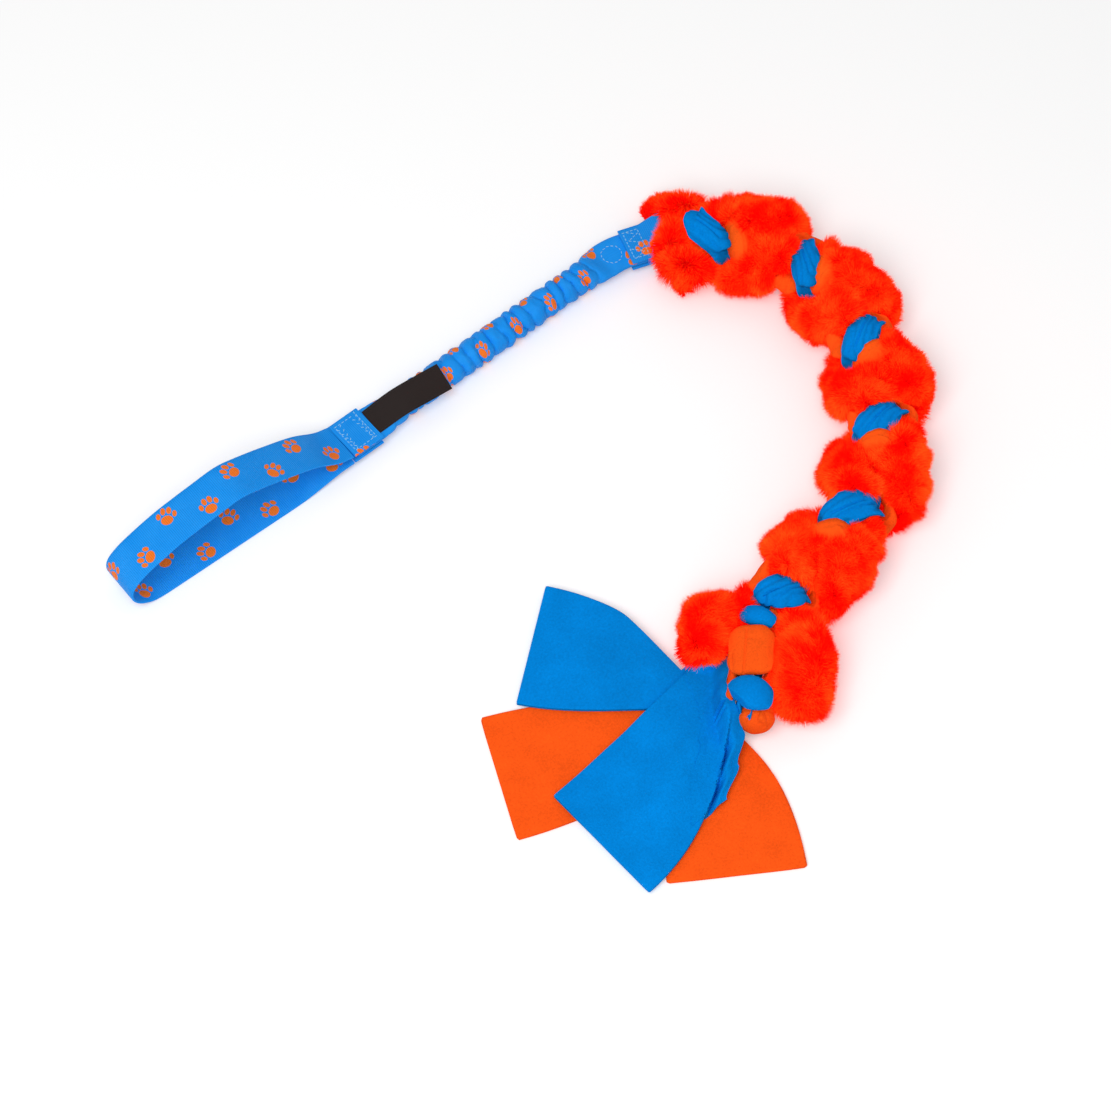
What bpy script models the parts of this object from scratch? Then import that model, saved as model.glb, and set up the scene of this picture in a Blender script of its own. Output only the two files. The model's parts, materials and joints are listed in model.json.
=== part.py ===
"""Fleece tug toy with a bungee handle: the construction of its pieces.

Metres, +Z up. X runs along the bungee from the hand loop to the braid. The toy lies on the floor
as it does in use between throws: the braid curls round to its knot, where four tails fan out.
"""

import math

import bmesh
import bpy
from mathutils import Matrix, Vector

# Webbing, thread and the clearance between touching pieces
webbing_width = 0.025
webbing_thickness = 0.0014
thread_thickness = 0.0006
stitch_inset = 0.003
ring_points = 12
seat_gap = 0.0004
cut_tolerance = 0.000004

# Handle: the sewn joint and the open hand loop
joint_length = 0.020
loop_reach = 0.1475
loop_height = 0.0450
loop_lay_angle = math.radians(1.7)
# Along the loop from its upper end, out over the tip and back: (distance out, height)
loop_profile_shares = (
    (0.065, 0.345), (0.165, 0.575), (0.290, 0.760), (0.415, 0.915), (0.500, 0.985),
    (0.605, 0.950), (0.757, 0.875), (0.868, 0.770), (0.950, 0.655), (0.995, 0.510),
    (0.998, 0.300), (0.955, 0.110), (0.880, 0.020), (0.700, 0.015), (0.450, 0.015),
    (0.250, 0.020), (0.150, 0.070), (0.065, 0.125),
)
loop_segments = 46

# Bungee: elastic core in a gathered sleeve, with its bend into the tab
bungee_length = 0.184
bend_radius = 0.040
tab_lay_angle = math.radians(19.0)
tab_length = 0.024
tab_overlap = 0.013
sleeve_radius = 0.0082
sleeve_wall = 0.0008
sleeve_flat_half_width = 0.0118
sleeve_taper_at_handle = 0.026
sleeve_taper_at_tab = 0.034
gather_height = 0.0008
gather_pitch = 0.0076
gather_rings = 2
sleeve_points = 12
elastic_radius = 0.0040
elastic_flat_half_width = 0.0060
elastic_flat_half_height = 0.0006
elastic_steps = 24
elastic_round_shares = (0.35, 0.95)

# Label on the sleeve beside the handle joint
label_length = 0.049
label_width = 0.0165
label_thickness = 0.0006
label_roll_at_joint = math.radians(8.0)
label_roll_at_end = math.radians(36.0)
label_segments = 9

# Eye of webbing round the bight of the strips
eye_inner_radius = 0.0070
eye_opening_angle = math.radians(118)
eye_turns = 14
bight_radius = 0.0028
bight_spread = 0.0034
bight_turn_offset = 0.0074
bight_overhang = 0.0008
bight_turns = 8
bight_angles = {"blue": math.radians(30), "orange": math.radians(270), "fur": math.radians(150)}

# Braid: four strands laid round each other, seen in sections across its route
braid_length = 0.384
braid_height = 0.0210
braid_start = (0.0095, -0.0172)
braid_step = 0.0032
route_steps = 12
core_radius = 0.0198
lay_radius = 0.0101
lay_depth = 0.0065
fleece_half_width = 0.0145
fleece_half_thickness = 0.0065
sunk_half_width = 0.0110
sunk_half_thickness = 0.0045
middle_share = 0.5
sunk_middle_share = 0.2
split_offset = 0.0045
split_depth = 0.0056
split_shift = 0.0055
fur_rise = 0.0045
fur_low_half_width = 0.0180
fur_low_half_thickness = 0.0070
fur_half_width = 0.0280
fur_half_thickness = 0.0260
fur_reach = 0.0290
fur_crown = 0.0238
fur_lift = 0.0030
sunk_reach = 0.0100
sunk_crown = 0.0082
cover_gap = 0.0016
cover_opening = 0.0040
strand_gap = 0.0008
strand_room = 0.0006
beyond_reach = 1.0
room_passes = 12
strand_points = 8
fur_points = 12
corner_sharpness = 8.0
# Where a blue strand crosses on top, as shares of the braid's length, and how far the whole lay
# leans to the right of its run there
crossing_shares = (0.018, 0.186, 0.345, 0.492, 0.656, 0.827)
crossing_leans = tuple(math.radians(angle) for angle in (23, 20, 11, 13, 8, -4))
crossing_near = math.radians(22)
crossing_far = math.radians(82)
# Turns past a crossing at which the strands change levels and the fur closes over the fleece
rise_near = math.radians(8)
rise_far = math.radians(38)
cover_near = math.radians(16)
cover_far = math.radians(44)
orange_cover_near = math.radians(38)
orange_cover_far = math.radians(68)
lay_rest = 0.14
# Route of the braid's centre from the eye, as shares of the braid's length
route_shares = (
    (0.055, -0.087), (0.085, -0.123), (0.105, -0.177), (0.108, -0.236),
    (0.100, -0.305), (0.071, -0.367), (0.040, -0.425), (-0.001, -0.478),
    (-0.054, -0.520), (-0.126, -0.558), (-0.203, -0.574), (-0.282, -0.582),
    (-0.358, -0.608), (-0.409, -0.648), (-0.481, -0.703),
)

# Knot that ends the braid
knot_length = 0.069
knot_easing = 0.014
knot_freeze = 0.020
knot_core_radius = 0.0122
knot_core_reach = 0.0165
knot_lay_radius = 0.0085
knot_lay_depth = 0.0048
knot_fur_reach = 0.0430
knot_fur_rise = 0.0105
knot_fur_end_gap_a = 0.028
knot_fur_end_gap_b = 0.006
knot_fur_round = 0.022
knot_fur_tip_share = 0.3
knot_fur_half_width = 0.0200
knot_fur_half_thickness = 0.0200
knot_shoulder = 0.0050
blue_band_radius = 0.0160
orange_band_radius = 0.0174
blue_end_radius = 0.0166
knot_band_half_thickness = 0.0048
knot_band_points = 12
knot_band_steps = 9
knot_end_overrun = 0.006
band_gap = 0.0005
blue_band_width = 0.0115
orange_band_width = 0.0290
blue_end_width = 0.0190
blue_band_swing = (math.radians(-22), math.radians(44))
orange_band_swing = (math.radians(-26), math.radians(44))
blue_end_swing = (math.radians(-44), math.radians(32))
band_taper_shares = (0.14, 0.86)
band_taper_power = 0.6

# Tails: strips of fleece that fan out from the knot
tail_reach = 0.100
tail_width = 0.0735
tail_root_width = 0.036
tail_thickness = 0.0026
tail_layer_gap = 0.0006
tail_root_gap = 0.0004
tail_side_pull = 0.048
tail_setback = 0.004
tail_rows = 11
tail_columns = 9
front_fold_height = 0.0065
fold_crest_share = 0.60
fold_width_share = 0.17
fold_run_share = 0.85
fold_power = 1.5
level_near_distance = 0.034
level_mid_distance = 0.050
level_far_distance = 0.095
# Each tail: place of its root along the hinge and of its end's centre, as shares of tail_reach
root_shares = {
    "blue_tail_front": 0.230,
    "blue_tail_left": 0.375,
    "orange_tail_left": 0.150,
    "orange_tail_right": 0.090,
}
end_shares = {
    "blue_tail_front": (-0.98, -0.03),
    "blue_tail_left": (-0.50, 1.10),
    "orange_tail_left": (-1.135, 0.614),
    "orange_tail_right": (-0.55, -0.61),
}
tail_headings = {
    "blue_tail_front": math.radians(181.7),
    "blue_tail_left": math.radians(127.4),
    "orange_tail_left": math.radians(155.5),
    "orange_tail_right": math.radians(236.8),
}
tail_levels = {
    "blue_tail_front": (3, 2, 1),
    "blue_tail_left": (2, 2, 1),
    "orange_tail_left": (1, 1, 0),
    "orange_tail_right": (0, 0, 0),
}

# Colours and finishes
webbing_blue = (0.010, 0.270, 0.830)
thread_blue = (0.250, 0.600, 0.900)
label_black = (0.020, 0.014, 0.013)
elastic_white = (0.750, 0.750, 0.720)
fleece_blue = (0.003, 0.250, 0.700)
fleece_orange = (1.000, 0.110, 0.008)
fur_orange = (1.000, 0.035, 0.002)
cloth_roughness = 0.9
webbing_roughness = 0.55
thread_roughness = 0.6

# Heights and places that follow from the sizes above
sleeve_outer_radius = sleeve_radius + gather_height
bungee_height = sleeve_outer_radius
elastic_clearance = seat_gap
sleeve_flat_half_height = elastic_flat_half_height + elastic_clearance + sleeve_wall
layer_offset = sleeve_flat_half_height + seat_gap + webbing_thickness / 2
bend_length = bend_radius * tab_lay_angle
tab_start = bungee_length + bend_length
eye_station = tab_start + tab_length
knot_start = braid_length - knot_length
knot_fur_ends = {"a": braid_length - knot_fur_end_gap_a, "b": braid_length - knot_fur_end_gap_b}
flat_oval_share = 0.62
edge_angle = math.radians(40)
sheet_angle = math.radians(60)
strand_angle = math.radians(70)
up = Vector((0, 0, 1))
faces = {"top": 1, "bottom": -1}


def smooth(value, low, high):
    """Ease from 0 to 1 while value goes from low to high."""
    share = min(max((value - low) / (high - low), 0.0), 1.0)
    return share * share * (3 - 2 * share)


def mix(start, end, share):
    return start + (end - start) * share


def make_material(name, colour, roughness):
    material = bpy.data.materials.new(name)
    material.use_nodes = True
    shader = material.node_tree.nodes["Principled BSDF"]
    shader.inputs["Base Color"].default_value = (*colour, 1)
    shader.inputs["Roughness"].default_value = roughness
    shader.inputs["Metallic"].default_value = 0
    material.diffuse_color = (*colour, 1)
    return material


def add_ring(mesh, points):
    """One closed ring of edges through the points."""
    corners = [mesh.verts.new(point) for point in points]
    return [mesh.edges.new((a, b)) for a, b in zip(corners, corners[1:] + corners[:1])]


def add_loft(mesh, rings, closed=False, capped=True):
    """Skin the rings one after the other, and cap both ends unless the loft is closed or open."""
    loops = [add_ring(mesh, ring) for ring in rings]
    pairs = list(zip(loops, loops[1:]))
    if closed:
        pairs.append((loops[-1], loops[0]))
    for first, second in pairs:
        bmesh.ops.bridge_loops(mesh, edges=first + second)
    if capped and not closed:
        for loop in (loops[0], loops[-1]):
            bmesh.ops.edgeloop_fill(mesh, edges=loop)


def finish(name, mesh, body, material, sharp_angle=edge_angle):
    """Turn the mesh into a named object, carried by its body's empty."""
    bmesh.ops.recalc_face_normals(mesh, faces=mesh.faces)
    data = bpy.data.meshes.new(name)
    mesh.to_mesh(data)
    mesh.free()
    data.shade_smooth()
    data.set_sharp_from_angle(angle=sharp_angle)
    data.materials.append(material)
    piece = bpy.data.objects.new(name, data)
    bpy.context.collection.objects.link(piece)
    piece.parent = body
    piece.location = -Vector(body["pivot"])
    return piece


def add_body(name, pivot, parent):
    """An empty on the joint's axis that carries one moving body."""
    empty = bpy.data.objects.new(name, None)
    bpy.context.collection.objects.link(empty)
    empty["pivot"] = tuple(pivot)
    empty.parent = parent
    empty.location = Vector(pivot) - Vector(parent["pivot"]) if parent else pivot
    return empty


def framed(place, side, over, along):
    """A matrix whose X, Y and Z are a strip's side, its face and its run."""
    return Matrix.Translation(place) @ Matrix((side, over, along)).transposed().to_4x4()


def sweep(mesh, frames, outlines, closed=False, capped=True):
    """Loft one outline per frame; an outline is a list of (side, over) pairs."""
    rings = []
    for frame, outline in zip(frames, outlines):
        rings.append([frame @ Vector((a, b, 0)) for a, b in outline])
    add_loft(mesh, rings, closed, capped)


def rectangle(width, thickness):
    a = width / 2
    b = thickness / 2
    return [(-a, -b), (a, -b), (a, b), (-a, b)]


def oval(half_width, half_height, points):
    """A ring that is round where both halves are alike and flatter ended where they are not."""
    power = mix(flat_oval_share, 1.0, min(half_height / half_width, 1.0))
    ring = []
    for index in range(points):
        angle = math.tau * (index + 0.5) / points
        a = math.copysign(abs(math.cos(angle)) ** power, math.cos(angle))
        b = math.copysign(abs(math.sin(angle)) ** power, math.sin(angle))
        ring.append((half_width * a, half_height * b))
    return ring


def bungee_frame(station, height=0.0, side_offset=0.0):
    """Frame on the bungee's centre line, which bends towards the braid at its tab end."""
    turn = min(max((station - bungee_length) / bend_radius, 0.0), tab_lay_angle)
    straight = min(station, bungee_length)
    past = max(station - tab_start, 0.0)
    along = Vector((math.cos(turn), -math.sin(turn), 0))
    side = Vector((math.sin(turn), math.cos(turn), 0))
    place = Vector((straight, 0, bungee_height + height))
    place += Vector((bend_radius * math.sin(turn), -bend_radius * (1 - math.cos(turn)), 0))
    place += along * past + side * side_offset
    return framed(place, side, up, along)


# Bungee and its webbing


def roundness(station):
    """How round the sleeve is there: 0 in its two sewn flat ends, 1 along its middle."""
    leaving = smooth(station, joint_length / 2, joint_length / 2 + sleeve_taper_at_handle)
    arriving = smooth(station, tab_start - sleeve_taper_at_tab, tab_start - tab_overlap)
    return leaving * (1 - arriving)


def sleeve_halves(station, wave_share=0.0):
    """Half width and half height of the sleeve's outside, on a gather's crest or in its trough."""
    share = roundness(station)
    wave = gather_height * wave_share * share
    width = mix(sleeve_flat_half_width, sleeve_radius, share) + wave
    return width, mix(sleeve_flat_half_height, sleeve_radius, share) + wave


def sleeve_ends():
    return -joint_length / 2 + stitch_inset, tab_start + tab_overlap


def build_sleeve(body, material):
    """The gathered tube of cloth, open at its two flat ends."""
    mesh = bmesh.new()
    first, last = sleeve_ends()
    count = round((last - first) / gather_pitch) * gather_rings
    frames = []
    outlines = []
    for index in range(count + 1):
        station = mix(first, last, index / count)
        wave_share = math.cos(math.tau * index / gather_rings)
        frames.append(bungee_frame(station))
        outlines.append(oval(*sleeve_halves(station, wave_share), sleeve_points))
    sweep(mesh, frames, outlines, capped=False)
    bmesh.ops.recalc_face_normals(mesh, faces=mesh.faces)
    bmesh.ops.solidify(mesh, geom=mesh.faces, thickness=sleeve_wall)
    return finish("bungee_sleeve", mesh, body, material)


def build_elastic(body, material):
    """The core, pressed flat at both ends where the seams hold it."""
    mesh = bmesh.new()
    first, last = sleeve_ends()
    first += seat_gap
    last -= seat_gap
    stations = [mix(first, last, index / elastic_steps) for index in range(elastic_steps + 1)]
    outlines = []
    for station in stations:
        share = smooth(roundness(station), *elastic_round_shares)
        outlines.append(oval(mix(elastic_flat_half_width, elastic_radius, share),
                             mix(elastic_flat_half_height, elastic_radius, share), sleeve_points))
    sweep(mesh, [bungee_frame(station) for station in stations], outlines)
    return finish("elastic_core", mesh, body, material)


def label_frame(share, lift=0.0, side=0.0):
    """Frame on the label's run: it follows the sleeve and rolls over its near side."""
    station = joint_length / 2 + seat_gap + label_length * share
    roll = mix(label_roll_at_joint, label_roll_at_end, share)
    width, height = sleeve_halves(station)
    crest = math.hypot(width * math.sin(roll), height * math.cos(roll))
    crest += gather_height * roundness(station) + seat_gap + label_thickness / 2 + lift
    base = bungee_frame(station)
    across = Vector((0, math.cos(roll), math.sin(roll)))
    over = Vector((0, -math.sin(roll), math.cos(roll)))
    place = base.translation + over * crest + across * side
    return framed(place, across, over, Vector((1, 0, 0)))


def build_label(body, material):
    mesh = bmesh.new()
    frames = [label_frame(index / label_segments) for index in range(label_segments + 1)]
    outline = rectangle(label_width, label_thickness)
    sweep(mesh, frames, [outline] * len(frames))
    return finish("label", mesh, body, material)


def thread_loop(mesh, frames):
    """A closed run of thread over the given frames."""
    outline = rectangle(thread_thickness, thread_thickness)
    sweep(mesh, frames, [outline] * len(frames), closed=True)


def build_label_stitching(body, material):
    mesh = bmesh.new()
    lift = label_thickness / 2 + seat_gap + thread_thickness / 2
    side = label_width / 2 - thread_thickness * 2
    inset_share = thread_thickness * 2 / label_length
    shares = [mix(inset_share, 1 - inset_share, index / label_segments)
              for index in range(label_segments + 1)]
    frames = [label_frame(share, lift, side) for share in shares]
    frames += [label_frame(share, lift, -side) for share in reversed(shares)]
    thread_loop(mesh, frames)
    return finish("label_stitching", mesh, body, material)


def box_frames(centre, half_run, half_side, lift):
    """Corner frames of a sewn box, round the bungee line at a station."""
    corners = ((-1, -1), (1, -1), (1, 1), (-1, 1))
    frames = []
    for run, side in corners:
        frame = bungee_frame(centre + run * half_run, lift, side * half_side)
        sideways = frame.to_3x3() @ Vector((side, 0, run))
        along = frame.to_3x3() @ Vector((-run * side, 0, 1)) * side
        frames.append(framed(frame.translation, sideways, up, along))
    return frames


def build_box_stitching(name, centre, half_run, half_side, lift, body, material):
    """The sewn box shows as a loop of thread on the top face and one on the under face."""
    for place, direction in faces.items():
        mesh = bmesh.new()
        thread_loop(mesh, box_frames(centre, half_run, half_side, direction * lift))
        finish(name + "_" + place, mesh, body, material)


def build_handle_ends(body, material):
    """The two webbing ends, sewn above and below the sleeve's flat end."""
    outline = rectangle(webbing_width, webbing_thickness)
    for place, direction in faces.items():
        mesh = bmesh.new()
        stations = (-joint_length / 2, 0, joint_length / 2)
        frames = [bungee_frame(station, direction * layer_offset) for station in stations]
        sweep(mesh, frames, [outline] * len(frames))
        finish("handle_end_" + place, mesh, body, material)


def spline(points, steps):
    """Catmull-Rom curve through the points, with the given steps in each stretch."""
    guide = [points[0] * 2 - points[1]] + points + [points[-1] * 2 - points[-2]]
    curve = []
    for index in range(len(points) - 1):
        a, b, c, d = guide[index:index + 4]
        for step in range(steps):
            t = step / steps
            curve.append(0.5 * (b * 2 + (c - a) * t + (a * 2 - b * 5 + c * 4 - d) * t ** 2
                                + (b * 3 - a - c * 3 + d) * t ** 3))
    curve.append(points[-1])
    return curve


def stations_of(curve):
    """Length along the curve at each of its points."""
    lengths = [0.0]
    for a, b in zip(curve, curve[1:]):
        lengths.append(lengths[-1] + (b - a).length)
    return lengths


def sample(curve, lengths, station):
    """Place and heading at a length along the curve, carried on straight past its ends."""
    index = 0
    while index < len(curve) - 2 and lengths[index + 1] < station:
        index += 1
    run = curve[index + 1] - curve[index]
    share = (station - lengths[index]) / run.length
    return curve[index] + run * share, run.normalized()


def loop_heading():
    """Directions of the hand loop: outwards along its lay, and to its side."""
    out = Vector((-math.cos(loop_lay_angle), math.sin(loop_lay_angle), 0))
    return out, Vector((math.sin(loop_lay_angle), math.cos(loop_lay_angle), 0))


def build_handle_loop(body, material):
    """The open loop of webbing between its two sewn ends."""
    mesh = bmesh.new()
    out, side = loop_heading()
    start = Vector((-joint_length / 2 - seat_gap, 0, 0))
    half = webbing_thickness / 2
    rows = [(0.0, bungee_height + layer_offset)]
    for out_share, height_share in loop_profile_shares:
        rows.append((out_share * loop_reach, max(height_share * loop_height, half)))
    rows.append((0.0, bungee_height - layer_offset))
    curve = spline([Vector((distance, height, 0)) for distance, height in rows], loop_segments)
    lengths = stations_of(curve)
    frames = []
    for index in range(loop_segments + 1):
        point, heading = sample(curve, lengths, lengths[-1] * index / loop_segments)
        if index in (0, loop_segments):
            heading = Vector((1 if index == 0 else -1, 0, 0))
        along = out * heading.x + up * heading.y
        place = start + out * point.x + up * max(point.y, half)
        frames.append(framed(place, side, along.cross(side), along))
    outline = rectangle(webbing_width, webbing_thickness)
    sweep(mesh, frames, [outline] * len(frames))
    return finish("handle_loop", mesh, body, material, sheet_angle)


def eye_axes():
    """Centre of the eye, its axis across the tab, and the tab's own run."""
    frame = bungee_frame(eye_station)
    return frame.translation, frame.col[0].to_3d(), frame.col[2].to_3d()


def build_eye(body, material):
    """One strip: flat over the sleeve's end, round the bight and back beneath."""
    mesh = bmesh.new()
    centre, side, along = eye_axes()
    radius = eye_inner_radius + webbing_thickness / 2
    upper = [(tab_start - eye_station, layer_offset)]
    upper.append((tab_start + tab_overlap - eye_station, layer_offset))
    arc = []
    for index in range(eye_turns + 1):
        angle = mix(eye_opening_angle, -eye_opening_angle, index / eye_turns)
        arc.append((radius * math.cos(angle), radius * math.sin(angle)))
    lower = [(run, -height) for run, height in reversed(upper)]
    path = upper + arc + lower
    frames = []
    for index, (run, height) in enumerate(path):
        before = path[max(index - 1, 0)]
        after = path[min(index + 1, len(path) - 1)]
        heading = along * (after[0] - before[0]) + up * (after[1] - before[1])
        if index in (0, len(path) - 1):
            heading = along * (1 if index == 0 else -1)
        heading.normalize()
        place = centre + along * run + up * height
        frames.append(framed(place, side, heading.cross(side), heading))
    outline = rectangle(webbing_width, webbing_thickness)
    sweep(mesh, frames, [outline] * len(frames))
    return finish("eye_webbing", mesh, body, material, sheet_angle)


def build_sleeve_end_stitching(body, material):
    """Ring of stitches through the sleeve's flat end, just before the tab."""
    ring_radius = sleeve_flat_half_width / 2
    centre = tab_start - ring_radius - stitch_inset
    for name, direction in faces.items():
        mesh = bmesh.new()
        lift = sleeve_flat_half_height + seat_gap * 2 + thread_thickness / 2
        frames = []
        for index in range(ring_points):
            angle = math.tau * index / ring_points
            frame = bungee_frame(centre + ring_radius * math.cos(angle), direction * lift,
                                 ring_radius * math.sin(angle))
            turn = frame.to_3x3()
            outward = turn @ Vector((math.sin(angle), 0, math.cos(angle)))
            heading = turn @ Vector((math.cos(angle), 0, -math.sin(angle)))
            frames.append(framed(frame.translation, outward, up, heading))
        thread_loop(mesh, frames)
        finish("sleeve_end_stitching_" + name, mesh, body, material)


# Braid


def braid_route():
    """Centre line of the braid on its own level, from its first section to past its knot."""
    centre, _, _ = eye_axes()
    start = Vector((centre.x + braid_start[0], centre.y + braid_start[1], braid_height))
    points = [start]
    for x_share, y_share in route_shares:
        points.append(Vector((centre.x + x_share * braid_length,
                              centre.y + y_share * braid_length, braid_height)))
    curve = spline(points, route_steps)
    return curve, stations_of(curve)


def braid_frame(route, station):
    """Section frame: X to the right of the run, Y up, Z along it."""
    place, along = sample(*route, station)
    return framed(place, along.cross(up), up, along)


def lay_turns(station):
    """Turn of the lay, half a turn from one top crossing to the next, and how far it leans."""
    marks = [share * braid_length for share in crossing_shares]
    last = len(marks) - 1
    if station >= marks[last]:
        share = min((station - marks[last]) / knot_freeze, 1.0)
        return math.pi * (last + share / 2), crossing_leans[last] * (1 - share)
    index = 0
    while index < last - 1 and marks[index + 1] < station:
        index += 1
    share = (station - marks[index]) / (marks[index + 1] - marks[index])
    lean = mix(crossing_leans[index], crossing_leans[index + 1], min(max(share, 0.0), 1.0))
    return math.pi * (index + share), lean


def lay_directions(angle):
    """Outward and sideways directions at an angle of the lay, both in the section."""
    return Vector((math.sin(angle), math.cos(angle))), Vector((math.cos(angle), -math.sin(angle)))


def lay_cells(station):
    """The four strands of the lay in one section: each one's centre and directions."""
    phase, lean = lay_turns(station)
    knot = smooth(station, knot_start, knot_start + knot_easing)
    radius = mix(lay_radius, knot_lay_radius, knot)
    depth = mix(lay_depth, knot_lay_depth, knot)
    past = (phase + math.pi / 2) % math.pi - math.pi / 2
    pause = lay_rest * math.sin(2 * past)
    phase -= pause
    past -= pause
    crossing = 1 - smooth(abs(past), crossing_near, crossing_far)
    shift = split_shift * crossing * smooth(-past, -crossing_near, crossing_near)
    covers = {"blue": smooth(abs(past), cover_near, cover_far) * (1 - knot),
              "orange": smooth(abs(past), orange_cover_near, orange_cover_far) * (1 - knot)}
    level = 1 - 2 * smooth(abs(past), rise_near, rise_far)
    cells = {}
    for index, half in enumerate("ab"):
        turned = math.pi * index
        for kind, angle, swing in (("blue", phase + turned, 1), ("mixed", turned - phase, -1)):
            out, across = lay_directions(angle + lean)
            rise = swing * level
            cells[kind + half] = {"centre": out * (radius + depth * rise), "out": out,
                                  "across": across, "outer": (1 + rise) / 2, "kind": kind}
    return cells, knot, crossing, shift, covers


def fur_end(name, station):
    """How much of a fur strip's thickness is left as it rounds off inside the knot."""
    if not name.startswith("fur"):
        return 1.0
    end = knot_fur_ends[name[-1]]
    gone = min(max((station - end + knot_fur_round) / knot_fur_round, 0.0), 1.0)
    return max(math.sqrt(1 - gone ** 2), knot_fur_tip_share)


def strand_shapes(station):
    """The six strands in one section: start point, size, side and limits of each."""
    cells, knot, crossing, shift, covers = lay_cells(station)
    fleece = {"half_width": mix(sunk_half_width, fleece_half_width, max(crossing, knot)),
              "half_height": mix(sunk_half_thickness, fleece_half_thickness, crossing)}
    spaces = {}
    for colour, cover in covers.items():
        spaces[colour] = {
            "reach": mix(mix(core_radius, knot_core_reach, knot), sunk_reach, cover),
            "crown": mix(mix(core_radius, knot_core_radius, knot), sunk_crown, cover)}
    shapes = {}
    for half in "ab":
        cell = cells["blue" + half]
        shapes["blue_strand_" + half] = dict(fleece, cell=cell, start=cell["centre"], side=None,
                                             **spaces["blue"])
        cell = cells["mixed" + half]
        outer = cell["outer"]
        lean = (1 - crossing) * math.pi / 2
        split = cell["across"] * math.cos(lean) - cell["out"] * math.sin(lean)
        depth = split_depth * (1 - crossing) + shift
        parting = cell["centre"] + split * (depth * (1 - knot))
        shapes["orange_strand_" + half] = dict(
            fleece, cell=cell, start=parting + split * split_offset, side=split, parting=parting,
            **spaces["orange"])
        rise = cell["out"] * (mix(fur_rise, knot_fur_rise, knot) * outer)
        rise += Vector((0, fur_lift * outer * (1 - knot)))
        shapes["fur_strip_" + half] = {
            "cell": cell, "side": -split, "crown": fur_crown, "parting": parting,
            "start": cell["centre"] + rise - split * (split_offset * max(crossing, knot)),
            "reach": mix(fur_reach, knot_fur_reach, knot),
            "half_width": mix(fur_low_half_width,
                              mix(fur_half_width, knot_fur_half_width, knot), outer),
            "half_height": mix(fur_low_half_thickness,
                               mix(fur_half_thickness, knot_fur_half_thickness, knot), outer)}
    return shapes, cells, knot, crossing, covers


def oval_distances(start, heading, reach, height):
    """Distances from a start point to where a heading enters and leaves an oval."""
    across = 1 / reach ** 2
    upright = 1 / height ** 2
    square = across * heading.x ** 2 + upright * heading.y ** 2
    linear = across * heading.x * start.x + upright * heading.y * start.y
    rest = across * start.x ** 2 + upright * start.y ** 2 - 1
    root = math.sqrt(max(linear ** 2 - square * rest, 0.0))
    return (-linear - root) / square, (-linear + root) / square


def cover_space(shape, knot, cover):
    """The oval round a fleece strand past which the fur may close over it."""
    room = cover_gap + cover_opening * (1 - cover) + beyond_reach * knot
    return shape["reach"] + room, shape["crown"] + room


def strand_planes(name, station):
    """What parts a strand from its neighbours: plane normal, its place, and a neighbour's oval."""
    shapes, cells, knot, crossing, covers = strand_shapes(station)
    shape = shapes[name]
    own = shape["cell"]
    furry = name.startswith("fur")
    blue_share = mix(sunk_middle_share, middle_share, crossing)
    planes = []
    for key, cell in cells.items():
        if cell is not own:
            share = middle_share
            space = None
            if cell["kind"] != own["kind"]:
                share = blue_share if own["kind"] == "blue" else 1 - blue_share
                if furry:
                    space = cover_space(shapes["blue_strand_" + key[-1]], knot, covers["blue"])
            normal = (cell["centre"] - own["centre"]).normalized()
            place = own["centre"].lerp(cell["centre"], share).dot(normal)
            planes.append((normal, place, space))
    if shape["side"]:
        normal = -shape["side"]
        space = None
        if furry:
            space = cover_space(shapes["orange_strand_" + name[-1]], knot, covers["orange"])
        planes.append((normal, shape["parting"].dot(normal), space))
    if knot > 0 and furry:
        slope = Vector((-math.copysign(1, own["centre"].x), 1)).normalized()
        planes.append((slope, mix(shape["reach"], -knot_shoulder, knot) * slope.y, None))
    return [(normal, place - strand_gap / 2, space) for normal, place, space in planes]


def move_inside(point, planes):
    """Nudge a point until it has some room to every plane that it can't pass."""
    for _ in range(room_passes):
        for normal, place, space in planes:
            excess = point.dot(normal) + strand_room - place
            inside = space is None or math.hypot(point.x / space[0], point.y / space[1]) < 1
            if excess > 0 and inside:
                point = point - normal * excess
    return point


def plane_distance(start, heading, normal, place, space):
    """Distance along a heading to the neighbour behind a plane, if the heading meets it."""
    facing = heading.dot(normal)
    room = place - start.dot(normal)
    if space is None:
        return max(room, strand_room / 2) / facing if facing > 0 else beyond_reach
    near, far = oval_distances(start, heading, *space)
    if facing > 0:
        near = max(near, room / facing)
    elif facing < 0:
        far = min(far, room / facing)
    return max(near, strand_room / 2) if near < far and far > 0 else beyond_reach


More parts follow.
